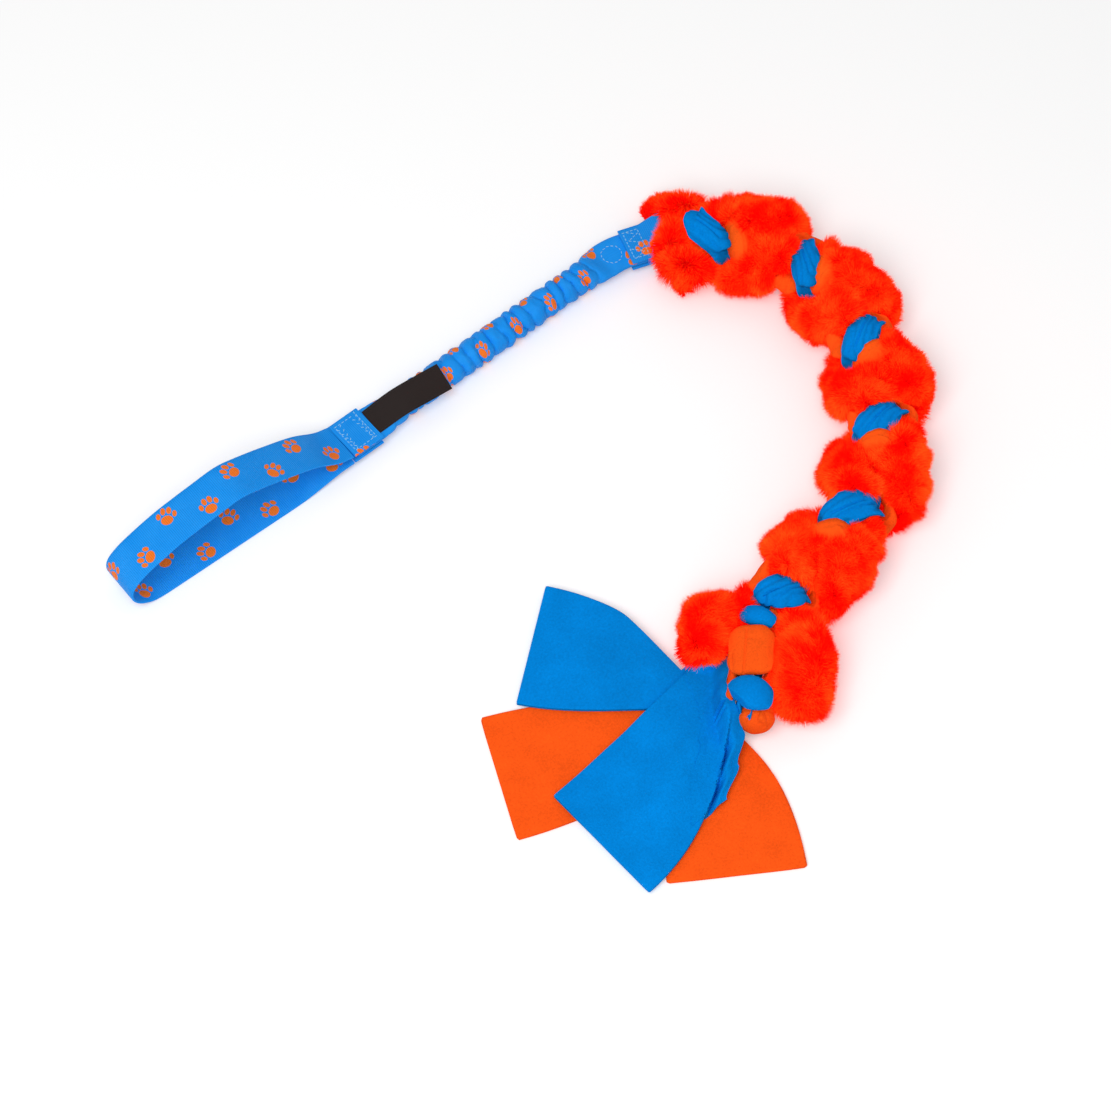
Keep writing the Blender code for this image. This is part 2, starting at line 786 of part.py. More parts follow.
def strand_outline(name, station, half_step):
    """Outline of one strand in a section: as wide as its neighbours leave it.

    The planes are those halfway to the sections before and after, so that two strands which meet
    stay on their own sides of one plane all the way from section to section.
    """
    shape = strand_shapes(station)[0][name]
    left = fur_end(name, station)
    own = shape["cell"]
    planes = []
    spaces = []
    for place in (station - half_step, station + half_step):
        planes += strand_planes(name, place)
        spaces.append(strand_shapes(place)[0][name])
    start = move_inside(shape["start"], planes)
    points = []
    count = fur_points if name.startswith("fur") else strand_points
    for index in range(count):
        turn = math.tau * index / count
        heading = own["across"] * math.cos(turn) + own["out"] * math.sin(turn)
        limits = [left / math.hypot(math.cos(turn) / shape["half_width"],
                                    math.sin(turn) / shape["half_height"])]
        for space in spaces:
            crown = space["crown"] if heading.y > 0 else min(space["crown"], braid_height - seat_gap)
            limits.append(max(oval_distances(start, heading, space["reach"], crown)[1],
                              strand_room / 2))
        for normal, place, space in planes:
            limits.append(plane_distance(start, heading, normal, place, space))
        reach = sum(limit ** -corner_sharpness for limit in limits)
        points.append(start + heading * reach ** (-1 / corner_sharpness))
    return points


def braid_stations():
    last = braid_length + knot_end_overrun
    count = round(last / braid_step)
    return [last * index / count for index in range(count + 1)]


def cut_at_tails(mesh, limit):
    """Cut the knot flat where the tails are rooted."""
    geometry = mesh.verts[:] + mesh.edges[:] + mesh.faces[:]
    cut = bmesh.ops.bisect_plane(mesh, geom=geometry, dist=cut_tolerance, plane_co=(limit, 0, 0),
                                 plane_no=(-1, 0, 0), clear_outer=True)
    edges = [item for item in cut["geom_cut"] if isinstance(item, bmesh.types.BMEdge)]
    if edges:
        bmesh.ops.holes_fill(mesh, edges=edges, sides=0)


def build_strands(body, materials, limit):
    """The two blue strands, the two orange ones and the fur strips laid beside them."""
    route = braid_route()
    stations = braid_stations()
    frames = [braid_frame(route, station) for station in stations]
    for name in strand_shapes(0)[0]:
        mesh = bmesh.new()
        kept = stations
        if name.startswith("fur"):
            kept = [station for station in stations if station < knot_fur_ends[name[-1]]]
        outlines = [strand_outline(name, station, stations[1] / 2) for station in kept]
        sweep(mesh, frames, outlines)
        cut_at_tails(mesh, limit)
        finish(name, mesh, body, materials[name.split("_")[0]], strand_angle)


def build_bights(body, materials):
    """The strips' bights: through the eye, round its end and back to the braid."""
    route = braid_route()
    start = braid_frame(route, 0.0)
    centre, side, along = eye_axes()
    turn_centre = webbing_width / 2 + bight_overhang
    for name, angle in bight_angles.items():
        run = bight_spread * math.cos(angle)
        height = bight_spread * math.sin(angle)
        radius = bight_turn_offset - run
        path = [(turn_centre, run)]
        for step in range(1, bight_turns + 1):
            turn = math.pi * step / bight_turns
            path.append((turn_centre + radius * math.sin(turn),
                         bight_turn_offset - radius * math.cos(turn)))
        places = [centre + side * p + along * q + up * height for p, q in path]
        near = end_on_plane(centre + along * run + up * height, -side, start)
        far = end_on_plane(places[-1], -side, start)
        places = [near] + places + [far]
        mesh = bmesh.new()
        frames = []
        for step, place in enumerate(places):
            before = places[max(step - 1, 0)]
            after = places[min(step + 1, len(places) - 1)]
            heading = (after - before).normalized()
            frames.append(framed(place, up.cross(heading), up, heading))
        outline = oval(bight_radius, bight_radius, strand_points)
        sweep(mesh, frames, [outline] * len(frames))
        finish(name + "_bight", mesh, body, materials[name])


def end_on_plane(place, heading, start):
    """Point where a leg of the bight stops, clear of the braid's first section."""
    normal = start.col[2].to_3d()
    facing = normal.dot(heading)
    lean = math.sqrt(1 - facing ** 2)
    distance = (start.translation - place).dot(normal) - seat_gap - bight_radius * lean
    return place + heading * (distance / facing)


def build_knot_band(name, centre_station, radius, width, swing, body, material, limit):
    """A turn of fleece over the knot, from one side to the other."""
    route = braid_route()
    mesh = bmesh.new()
    frames = []
    outlines = []
    for index in range(knot_band_steps + 1):
        share = index / knot_band_steps
        angle = mix(swing[0], swing[1], share)
        taper = math.sin(math.pi * mix(*band_taper_shares, share)) ** band_taper_power
        place, along = sample(*route, centre_station)
        right = along.cross(up)
        out = right * math.sin(angle) + up * math.cos(angle)
        across = right * math.cos(angle) - up * math.sin(angle)
        frames.append(framed(place + out * radius, along, out, across))
        outlines.append(oval(width / 2 * taper, knot_band_half_thickness * taper, knot_band_points))
    sweep(mesh, frames, outlines)
    cut_at_tails(mesh, limit)
    finish(name, mesh, body, material, strand_angle)


def build_knot_bands(body, materials, limit):
    first = knot_start + knot_easing + band_gap + blue_band_width / 2
    second = first + (blue_band_width + orange_band_width) / 2 + band_gap
    third = second + (orange_band_width + blue_end_width) / 2 + band_gap
    build_knot_band("knot_blue_band", first, blue_band_radius, blue_band_width, blue_band_swing,
                    body, materials["blue"], limit)
    build_knot_band("knot_orange_band", second, orange_band_radius, orange_band_width,
                    orange_band_swing, body, materials["orange"], limit)
    build_knot_band("knot_blue_end", third, blue_end_radius, blue_end_width, blue_end_swing,
                    body, materials["blue"], limit)


# Tails


def tail_origin():
    """Point on the tails' hinge, on top of their stacked roots."""
    place, _ = sample(*braid_route(), braid_length)
    stack = len(root_shares) * (tail_thickness + tail_layer_gap)
    return Vector((place.x - tail_setback, place.y, stack + seat_gap))


def tail_height(name, distance):
    """Height of a tail's under face: it steps down from the stack towards the floor."""
    near, middle, far = tail_levels[name]
    level = mix(near, middle, smooth(distance, level_near_distance, level_mid_distance))
    level += (far - middle) * smooth(distance, level_mid_distance, level_far_distance)
    return level * (tail_thickness + tail_layer_gap) + seat_gap / 2


def tail_edges(name):
    """Control points of the tail's two sides: root, pull and end, in the floor's plane."""
    origin = tail_origin()
    heading = Vector((math.cos(tail_headings[name]), math.sin(tail_headings[name])))
    left = Vector((heading.y, -heading.x))
    end_x, end_y = end_shares[name]
    end = Vector((origin.x + end_x * tail_reach, origin.y + end_y * tail_reach))
    root = Vector((origin.x - tail_root_gap, origin.y + root_shares[name] * tail_reach))
    edges = []
    for direction in (1, -1):
        corner = end + left * direction * tail_width / 2
        foot = root + Vector((0, direction * tail_root_width / 2))
        edges.append((foot, corner - heading * tail_side_pull, corner))
    return edges


def bezier(points, share):
    a, b, c = points
    return a * (1 - share) ** 2 + b * (2 * share * (1 - share)) + c * share ** 2


def tail_fold(name, along_share, across_share):
    """Height of the main fold that stands up in the front tail."""
    if name != "blue_tail_front":
        return 0.0
    crest = math.exp(-((across_share - fold_crest_share) / fold_width_share) ** 2)
    run = math.sin(math.pi * min(along_share / fold_run_share, 1.0)) ** fold_power
    return front_fold_height * crest * run


def build_tail(name, body, material):
    mesh = bmesh.new()
    origin = tail_origin()
    first_edge, second_edge = tail_edges(name)
    middle = Vector((origin.x, origin.y + root_shares["blue_tail_front"] * tail_reach))
    rings = []
    for row in range(tail_rows + 1):
        along_share = row / tail_rows
        first = bezier(first_edge, along_share)
        second = bezier(second_edge, along_share)
        under = []
        for column in range(tail_columns + 1):
            across_share = column / tail_columns
            place = first.lerp(second, across_share)
            place.x = min(place.x, origin.x - tail_root_gap)
            height = tail_height(name, (place - middle).length)
            height += tail_fold(name, along_share, across_share)
            under.append(Vector((place.x, place.y, height)))
        over = [point + up * tail_thickness for point in reversed(under)]
        rings.append(under + over)
    add_loft(mesh, rings)
    return finish(name, mesh, body, material, sheet_angle)


def centre_on_floor(layout):
    """Move the whole toy so that its box stands centred on the origin."""
    bpy.context.view_layer.update()
    corners = []
    for piece in bpy.context.scene.objects:
        if piece.type == "MESH":
            corners += [piece.matrix_world @ vertex.co for vertex in piece.data.vertices]
    low = Vector([min(corner[axis] for corner in corners) for axis in range(3)])
    high = Vector([max(corner[axis] for corner in corners) for axis in range(3)])
    middle = (low + high) / 2
    layout.location = (-middle.x, -middle.y, -low.z)
    bpy.context.view_layer.update()


def report_joints(bodies):
    """Print where each joint's axis ended up."""
    for name, body in bodies.items():
        place = body.matrix_world.translation
        print("joint place", name, [round(value, 5) for value in place])


def main():
    for piece in list(bpy.data.objects):
        bpy.data.objects.remove(piece, do_unlink=True)

    blue_webbing = make_material("blue_webbing", webbing_blue, webbing_roughness)
    thread = make_material("thread", thread_blue, thread_roughness)
    woven_black = make_material("woven_black", label_black, cloth_roughness)
    elastic = make_material("elastic", elastic_white, thread_roughness)
    fleeces = {
        "blue": make_material("blue_fleece", fleece_blue, cloth_roughness),
        "orange": make_material("orange_fleece", fleece_orange, cloth_roughness),
        "fur": make_material("orange_fur", fur_orange, cloth_roughness),
    }

    origin = tail_origin()
    eye_centre, _, _ = eye_axes()
    loop_pivot = Vector((-joint_length / 2 - seat_gap / 2, 0,
                         bungee_height + layer_offset + webbing_thickness / 2))
    layout = add_body("layout", Vector((0, 0, 0)), None)
    bodies = {"eye_hinge": add_body("eye_hinge", eye_centre, layout)}
    bodies["bungee_slide"] = add_body("bungee_slide", Vector((0, 0, bungee_height)),
                                      bodies["eye_hinge"])
    bodies["loop_hinge"] = add_body("loop_hinge", loop_pivot, bodies["bungee_slide"])
    # Each tail lies on the one before it in the stack and is carried by it
    carrier = layout
    for name in reversed(root_shares):
        carrier = add_body(name + "_hinge", origin, carrier)
        bodies[name + "_hinge"] = carrier

    build_sleeve(bodies["eye_hinge"], blue_webbing)
    build_elastic(bodies["eye_hinge"], elastic)
    build_eye(bodies["eye_hinge"], blue_webbing)
    build_sleeve_end_stitching(bodies["eye_hinge"], thread)
    thread_lift = layer_offset + webbing_thickness / 2 + seat_gap + thread_thickness / 2
    build_box_stitching("eye_stitching", tab_start + tab_overlap / 2,
                        tab_overlap / 2 - stitch_inset / 2, webbing_width / 2 - stitch_inset,
                        thread_lift, bodies["eye_hinge"], thread)
    build_handle_ends(bodies["bungee_slide"], blue_webbing)
    build_box_stitching("handle_joint_stitching", 0, joint_length / 2 - stitch_inset,
                        webbing_width / 2 - stitch_inset, thread_lift,
                        bodies["bungee_slide"], thread)
    build_label(bodies["bungee_slide"], woven_black)
    build_label_stitching(bodies["bungee_slide"], thread)
    build_handle_loop(bodies["loop_hinge"], blue_webbing)

    limit = origin.x + tail_root_gap
    build_strands(layout, fleeces, limit)
    build_bights(layout, fleeces)
    build_knot_bands(layout, fleeces, limit)
    for name in root_shares:
        build_tail(name, bodies[name + "_hinge"], fleeces[name.split("_")[0]])

    centre_on_floor(layout)
    report_joints(bodies)


main()
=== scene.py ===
"""Fleece tug toy with a bungee handle: the looks of its pieces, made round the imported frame."""

import bisect
import json
import math

import bmesh
import bpy
from bpy.props import FloatProperty, FloatVectorProperty, IntProperty, PointerProperty
from mathutils import Matrix, Vector, kdtree, noise
from mathutils.bvhtree import BVHTree


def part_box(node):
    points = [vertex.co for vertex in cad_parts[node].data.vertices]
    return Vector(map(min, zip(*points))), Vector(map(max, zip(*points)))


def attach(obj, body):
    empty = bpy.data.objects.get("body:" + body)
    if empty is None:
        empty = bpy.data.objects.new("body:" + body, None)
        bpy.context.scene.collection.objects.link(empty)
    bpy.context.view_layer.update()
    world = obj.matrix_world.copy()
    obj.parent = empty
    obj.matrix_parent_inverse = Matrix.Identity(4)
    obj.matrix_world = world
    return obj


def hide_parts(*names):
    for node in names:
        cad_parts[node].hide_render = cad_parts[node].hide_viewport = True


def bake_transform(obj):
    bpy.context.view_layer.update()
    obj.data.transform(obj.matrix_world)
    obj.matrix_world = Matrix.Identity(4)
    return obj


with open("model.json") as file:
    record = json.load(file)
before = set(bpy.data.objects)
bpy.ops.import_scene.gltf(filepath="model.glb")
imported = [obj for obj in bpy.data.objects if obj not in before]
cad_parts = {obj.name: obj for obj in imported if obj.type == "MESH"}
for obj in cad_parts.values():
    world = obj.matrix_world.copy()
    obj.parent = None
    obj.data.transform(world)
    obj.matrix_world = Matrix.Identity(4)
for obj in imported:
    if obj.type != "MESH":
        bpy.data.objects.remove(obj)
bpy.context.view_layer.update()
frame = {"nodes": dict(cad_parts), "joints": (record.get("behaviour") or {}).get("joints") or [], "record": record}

bl_info = {
    "name": "Fleece Tug Toy",
    "version": (1, 0, 0),
    "blender": (4, 5, 0),
    "location": "3D View > Sidebar > Tug Toy",
    "description": "Webbing, gathered sleeve, fleece braid, fur pile and tails of a tug toy",
    "category": "Add Mesh",
}

up = Vector((0, 0, 1))


# Measures taken from the frame


def joint_named(name):
    return next(joint for joint in frame["joints"] if joint["name"] == name)


top_end_low, top_end_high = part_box("handle_end_top")
under_end_low, under_end_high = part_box("handle_end_bottom")
webbing_width = top_end_high.y - top_end_low.y
webbing_thickness = top_end_high.z - top_end_low.z
joint_length = top_end_high.x - top_end_low.x
joint_centre = (top_end_high + under_end_low) / 2
layer_offset = (top_end_low.z - under_end_high.z) / 2 + webbing_thickness / 2
elastic_low, elastic_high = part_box("elastic_core")
elastic_radius = (elastic_high.z - elastic_low.z) / 2
braid_nodes = frame["record"]["behaviour"]["bodies"]["braid"]

# Bungee: its bend towards the braid and the lengths that the eye's place gives
bend_radius = 0.040
eye_centre = Vector(joint_named("eye_hinge")["pos_m"])
eye_axis = Vector(joint_named("eye_hinge")["axis"]).normalized()
tab_lay_angle = math.atan2(eye_axis.x, eye_axis.y)
eye_reach = eye_centre - joint_centre
tab_length = (-eye_reach.y - bend_radius * (1 - math.cos(tab_lay_angle))) / math.sin(tab_lay_angle)
bungee_length = (eye_reach.x - bend_radius * math.sin(tab_lay_angle)
                 - tab_length * math.cos(tab_lay_angle))
tab_start = bungee_length + bend_radius * tab_lay_angle
eye_station = tab_start + tab_length
tab_overlap = 0.013
seat_gap = 0.0004
floor_clearance = 0.0003

# Sleeve and its core
sleeve_radius = 0.0082
sleeve_wall = 0.0008
sleeve_flat_half_width = 0.0118
sleeve_flat_half_height = 0.0018
sleeve_taper_at_handle = 0.026
sleeve_taper_at_tab = 0.034
sleeve_inset = 0.003
gather_height = 0.0008
sleeve_points = 56
sleeve_step = 0.0006
sleeve_take_up = 1.7
flat_oval_share = 0.62
elastic_flat_half_width = 0.0060
elastic_flat_half_height = 0.0006
elastic_points = 24
elastic_step = 0.002
elastic_round_shares = (0.35, 0.95)

# Unevenness of the gathers: how much, over which length, and its seed where it has one
gather_drift = (0.55, 0.017, 7.7)
gather_slant = (0.75, 0.021, 1.3)
gather_twist = (5.0, 0.040, 4.1)
gather_breaks = (0.35, 0.012)
gather_rises = (0.50, 0.006)
gather_mean_rise = 0.8
gather_crest_power = 0.55
gather_level = 0.62
wrinkle_height = 0.12
wrinkle_run = 0.0022
wrinkle_turns = 2.2
wrinkle_seed = 9.0

# Label
label_length = 0.049
label_width = 0.0165
label_thickness = 0.0006
label_roll_at_joint = math.radians(8.0)
label_roll_at_end = math.radians(36.0)
label_step = 0.001
label_margin = 0.02
label_seam_shares = (0.03, 0.97)
label_seam_steps = 10
label_seam_inset = 0.0012

# Hand loop: its side profile, as (distance out, height) shares
loop_reach = 0.1475
loop_height = 0.0450
loop_lay_angle = math.radians(1.7)
loop_profile_shares = (
    (0.065, 0.345), (0.165, 0.575), (0.290, 0.760), (0.415, 0.915), (0.500, 0.985),
    (0.605, 0.950), (0.757, 0.875), (0.868, 0.770), (0.950, 0.655), (0.995, 0.510),
    (0.998, 0.300), (0.955, 0.110), (0.880, 0.020), (0.700, 0.015), (0.450, 0.015),
    (0.250, 0.020), (0.150, 0.070), (0.065, 0.125),
)
strip_step = 0.002
eye_inner_radius = 0.0070
eye_opening_angle = math.radians(118)
eye_turns = 28
loop_curve_steps = 24
end_steps = 10
end_print_shift = 0.006
tab_steps = 6
outline_columns = 6
outline_corners = (math.radians(45), 0.0, math.radians(-45))

# Seams: their distance from the edge, and the sizes of the boxes, zigzags and ring
seam_steps = 4
stitch_pitch_share = 1.3
seam_inset = 0.003
joint_box_half_run = 0.0072
joint_zigzag_place = 0.0055
joint_zigzag_half_run = 0.0009
joint_zigzag_turns = 12
tab_box_half_run = 0.0045
tab_zigzag_half_run = 0.0030
tab_zigzag_turns = 6
ring_gap = 0.003
ring_steps = 24

# Braid's route from the eye, as shares of its length
braid_length = 0.384
braid_height = 0.0210
braid_start = (0.0095, -0.0172)
route_shares = (
    (0.055, -0.087), (0.085, -0.123), (0.105, -0.177), (0.108, -0.236),
    (0.100, -0.305), (0.071, -0.367), (0.040, -0.425), (-0.001, -0.478),
    (-0.054, -0.520), (-0.126, -0.558), (-0.203, -0.574), (-0.282, -0.582),
    (-0.358, -0.608), (-0.409, -0.648), (-0.481, -0.703),
)
route_steps = 40
section_step = 0.0032
section_search = 80
weld_distance = 0.00002
fitting_rounds = 5
fitting_share = 0.8
crisp_edge = math.radians(60)
soft_edge = math.radians(80)


class TugWebbingSettings(bpy.types.PropertyGroup):
    blue: FloatVectorProperty(
        name="Blue", description="Ground colour of the webbing and the sleeve",
        subtype="COLOR", default=(0.0, 0.285, 0.930))
    orange: FloatVectorProperty(
        name="Print", description="Colour of the printed paws",
        subtype="COLOR", default=(1.0, 0.210, 0.020))
    print_pitch: FloatProperty(
        name="Print pitch", description="Distance from one paw to the next along the webbing",
        default=0.0215, unit="LENGTH")
    print_size: FloatProperty(
        name="Print size", description="Size of one paw", default=0.0125, unit="LENGTH")
    rib_pitch: FloatProperty(
        name="Rib pitch", description="Distance between the ribs across the webbing",
        default=0.0011, unit="LENGTH")
    gather_pitch: FloatProperty(
        name="Gather pitch", description="Distance between the sleeve's gathers",
        default=0.0078, unit="LENGTH")
    gather_depth: FloatProperty(
        name="Gather depth", description="Depth of the sleeve's gathers from crest to valley",
        default=0.0030, unit="LENGTH")
    stitch_length: FloatProperty(
        name="Stitch length", description="Length of one stitch", default=0.0020, unit="LENGTH")
    thread_radius: FloatProperty(
        name="Thread radius", description="Half the thickness of the sewing thread",
        default=0.00022, unit="LENGTH")


class TugFleeceSettings(bpy.types.PropertyGroup):
    blue: FloatVectorProperty(
        name="Blue", description="Colour of the blue fleece",
        subtype="COLOR", default=(0.0, 0.225, 0.690))
    orange: FloatVectorProperty(
        name="Orange", description="Colour of the orange fleece",
        subtype="COLOR", default=(1.0, 0.100, 0.008))
    crease_depth: FloatProperty(
        name="Crease depth", description="Depth of the creases along a folded strip",
        default=0.0012, unit="LENGTH")
    nap_size: FloatProperty(
        name="Nap size", description="Size of the flecks of the fleece's nap",
        default=0.0012, unit="LENGTH")
    wave_height: FloatProperty(
        name="Wave height", description="Height of the soft waves in the loose tails",
        default=0.0004, unit="LENGTH")


class TugFurSettings(bpy.types.PropertyGroup):
    root_colour: FloatVectorProperty(
        name="Root colour", description="Colour of the pile at its roots",
        subtype="COLOR", default=(1.0, 0.003, 0.0))
    # The tip colour: painted light at the tips of the tufts, and the lighter end of the pile's own tone and
    # patches
    tip_colour: FloatVectorProperty(
        name="Tip colour", description="Colour of the pile at its tips",
        subtype="COLOR", default=(1.0, 0.135, 0.010))
    root_depth: FloatProperty(
        name="Root depth", description="Depth of the backing under the pile's outside",
        default=0.0040, unit="LENGTH")
    overhang: FloatProperty(
        name="Overhang", description="How far the tips reach past the strip's outside",
        default=0.0030, unit="LENGTH")
    tuft_width: FloatProperty(
        name="Tuft width", description="Width of a tuft at its root", default=0.00058,
        unit="LENGTH")
    tuft_gather: FloatProperty(
        name="Tuft gather", description="Share by which the tips draw together into locks",
        default=0.45, subtype="FACTOR")
    lock_size: FloatProperty(
        name="Lock size", description="Size of one lock of the pile", default=0.0024,
        unit="LENGTH")
    # Strength of the painted glow that stands in for light coming through the pile
    painted_glow_strength: FloatProperty(
        name="Scattered light", description="Share of the light that comes through the pile",
        default=0.34, subtype="FACTOR")
    puff_hair: FloatProperty(
        name="Puff hair", description="Length of the pile on the puffs over the braid's middle",
        default=0.0075, unit="LENGTH")
    bight_hair: FloatProperty(
        name="Bight hair", description="Length of the pile on the bight beside the eye",
        default=0.0038, unit="LENGTH")
    knot_lean: FloatProperty(
        name="Knot lean", description="How far the pile beside the knot leans over it",
        default=0.9, subtype="FACTOR")
    knot_overhang: FloatProperty(
        name="Knot overhang", description="How far the pile reaches over the knot",
        default=0.0085, unit="LENGTH")
    tufts: IntProperty(
        name="Tufts", description="Number of tufts in one piece of the pile", default=46000)
    tousle: FloatProperty(
        name="Tousle", description="How far the tips stray, as a share of the pile's length",
        default=0.40, subtype="FACTOR")


class TugStageSettings(bpy.types.PropertyGroup):
    azimuth: FloatProperty(
        name="Azimuth", description="Direction of the camera round the toy",
        default=math.radians(-40.37), subtype="ANGLE")
    elevation: FloatProperty(
        name="Elevation", description="Height of the camera over the floor",
        default=math.radians(60.0), subtype="ANGLE")
    distance: FloatProperty(
        name="Distance", description="Distance from the camera to its target",
        default=1.691, unit="LENGTH")
    focal_length: FloatProperty(
        name="Focal length", description="Focal length in millimetres", default=100.0)
    world_strength: FloatProperty(
        name="World strength", description="Strength of the even light", default=0.48)
    key_power: FloatProperty(
        name="Key power", description="Power of the large lamp in watts", default=26.0)


# Small tools for shapes


def smooth(value, low, high):
    share = min(max((value - low) / (high - low), 0.0), 1.0)
    return share * share * (3 - 2 * share)


def mix(start, end, share):
    return start + (end - start) * share


def even_steps(start, end, count):
    return [mix(start, end, index / count) for index in range(count + 1)]


def wobble(seed, first, second=0.0):
    """Soft noise from -1 to 1 at a place, given as one or two numbers."""
    return noise.noise(Vector((first, second, seed)))


def plan_axes(turn):
    """Length and width of a shape on the plan, turned by so many degrees."""
    along = Vector((math.cos(math.radians(turn)), math.sin(math.radians(turn)), 0))
    return along, along.cross(up)


def framed(place, side, over, along):
    """A matrix whose X, Y and Z are a strip's side, its face and its run."""
    return Matrix.Translation(place) @ Matrix((side, over, along)).transposed().to_4x4()


def loft(rings, marks, capped=True):
    """Skin rings of points; marks give each point its place along and across the cloth."""
    mesh = bmesh.new()
    along_layer = mesh.verts.layers.float.new("along")
    across_layer = mesh.verts.layers.float.new("across")
    loops = []
    for ring, mark in zip(rings, marks):
        corners = []
        for point, (along, across) in zip(ring, mark):
            corner = mesh.verts.new(point)
            corner[along_layer] = along
            corner[across_layer] = across
            corners.append(corner)
        loops.append([mesh.edges.new(pair) for pair in zip(corners, corners[1:] + corners[:1])])
    for first, second in zip(loops, loops[1:]):
        bmesh.ops.bridge_loops(mesh, edges=first + second)
    if capped:
        for loop in (loops[0], loops[-1]):
            bmesh.ops.edgeloop_fill(mesh, edges=loop)
    bmesh.ops.recalc_face_normals(mesh, faces=mesh.faces)
    return mesh


def mesh_data(name, mesh):
    """The working mesh as data of its own."""
    data = bpy.data.meshes.new(name)
    mesh.to_mesh(data)
    mesh.free()
    return data


def working_mesh(data):
    mesh = bmesh.new()
    mesh.from_mesh(data)
    return mesh


def placed(name, data):
    """A new object in the scene."""
    thing = bpy.data.objects.new(name, data)
    bpy.context.collection.objects.link(thing)
    return thing


def add_piece(name, mesh, material, body, replaces=(), edge=crisp_edge):
    """Turn the mesh into a shown piece that rides on a body and stands for the named nodes."""
    data = mesh_data(name, mesh)
    data.shade_smooth()
    data.set_sharp_from_angle(angle=edge)
    return show_piece(name, data, material, body, replaces)


def show_piece(name, data, material, body, replaces=()):
    data.materials.clear()
    data.materials.append(material)
    piece = placed(name, data)
    if body:
        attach(piece, body)
    if replaces:
        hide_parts(*replaces)
    return piece


def evaluated_mesh(data, modifier_kind, **settings):
    """The mesh that a modifier makes of data."""
    holder = placed("holder", data)
    modifier = holder.modifiers.new("Shape", modifier_kind)
    for key, value in settings.items():
        setattr(modifier, key, value)
    depsgraph = bpy.context.evaluated_depsgraph_get()
    made = bpy.data.meshes.new_from_object(holder.evaluated_get(depsgraph), depsgraph=depsgraph)
    bpy.data.objects.remove(holder)
    return made


def subdivided(data, levels):
    return evaluated_mesh(data, "SUBSURF", levels=levels, render_levels=levels)


def welded_copy(node):
    """A node's shape with its vertices welded and its triangles joined in pairs."""
    mesh = working_mesh(frame["nodes"][node].data)
    bmesh.ops.remove_doubles(mesh, verts=mesh.verts, dist=weld_distance)
    bmesh.ops.join_triangles(mesh, faces=mesh.faces, angle_face_threshold=math.pi,
                             angle_shape_threshold=math.pi)
    return mesh


def soft_copy(node, levels):
    """A node's shape in new vertices, subdivided smoothly through the same places."""
    cage = mesh_data(node + "_cage", welded_copy(node))
    goals = [vertex.co.copy() for vertex in cage.vertices]
    for _ in range(fitting_rounds):
        made = subdivided(cage, levels=1)
        for vertex, goal in zip(cage.vertices, goals):
            vertex.co += (goal - made.vertices[vertex.index].co) * fitting_share
    mesh = working_mesh(subdivided(cage, levels))
    mesh.normal_update()
    return mesh


def spline(points, steps):
    """Catmull-Rom curve through the points, with the given steps in each stretch."""
    guide = [points[0] * 2 - points[1]] + points + [points[-1] * 2 - points[-2]]
    curve = []
    for index in range(len(points) - 1):
        a, b, c, d = guide[index:index + 4]
        for step in range(steps):
            t = step / steps
            curve.append(0.5 * (b * 2 + (c - a) * t + (a * 2 - b * 5 + c * 4 - d) * t ** 2
                                + (b * 3 - a - c * 3 + d) * t ** 3))
    curve.append(points[-1])
    return curve


def stations_of(curve):
    lengths = [0.0]
    for a, b in zip(curve, curve[1:]):
        lengths.append(lengths[-1] + (b - a).length)
    return lengths


def resample(curve, step):
    """Points at even steps along a curve, with each one's heading and station."""
    lengths = stations_of(curve)
    count = max(round(lengths[-1] / step), 2)
    samples = []
    index = 0
    for number in range(count + 1):
        station = lengths[-1] * number / count
        while index < len(curve) - 2 and lengths[index + 1] < station:
            index += 1
        run = curve[index + 1] - curve[index]
        share = (station - lengths[index]) / run.length
        samples.append((curve[index] + run * share, run.normalized(), station))
    return samples


# Small tools for materials


class Term:
    """An output of a node: reckoning with it adds math nodes to its tree."""

    def __init__(self, graph, socket):
        self.graph = graph
        self.socket = socket

    def __add__(self, other):
        return self.graph.math("ADD", self, other)

    def __radd__(self, other):
        return self.graph.math("ADD", other, self)

    def __sub__(self, other):
        return self.graph.math("SUBTRACT", self, other)

    def __rsub__(self, other):
        return self.graph.math("SUBTRACT", other, self)

    def __mul__(self, other):
        return self.graph.math("MULTIPLY", self, other)

    def __rmul__(self, other):
        return self.graph.math("MULTIPLY", other, self)

    def __truediv__(self, other):
        return self.graph.math("DIVIDE", self, other)

    def __rtruediv__(self, other):
        return self.graph.math("DIVIDE", other, self)


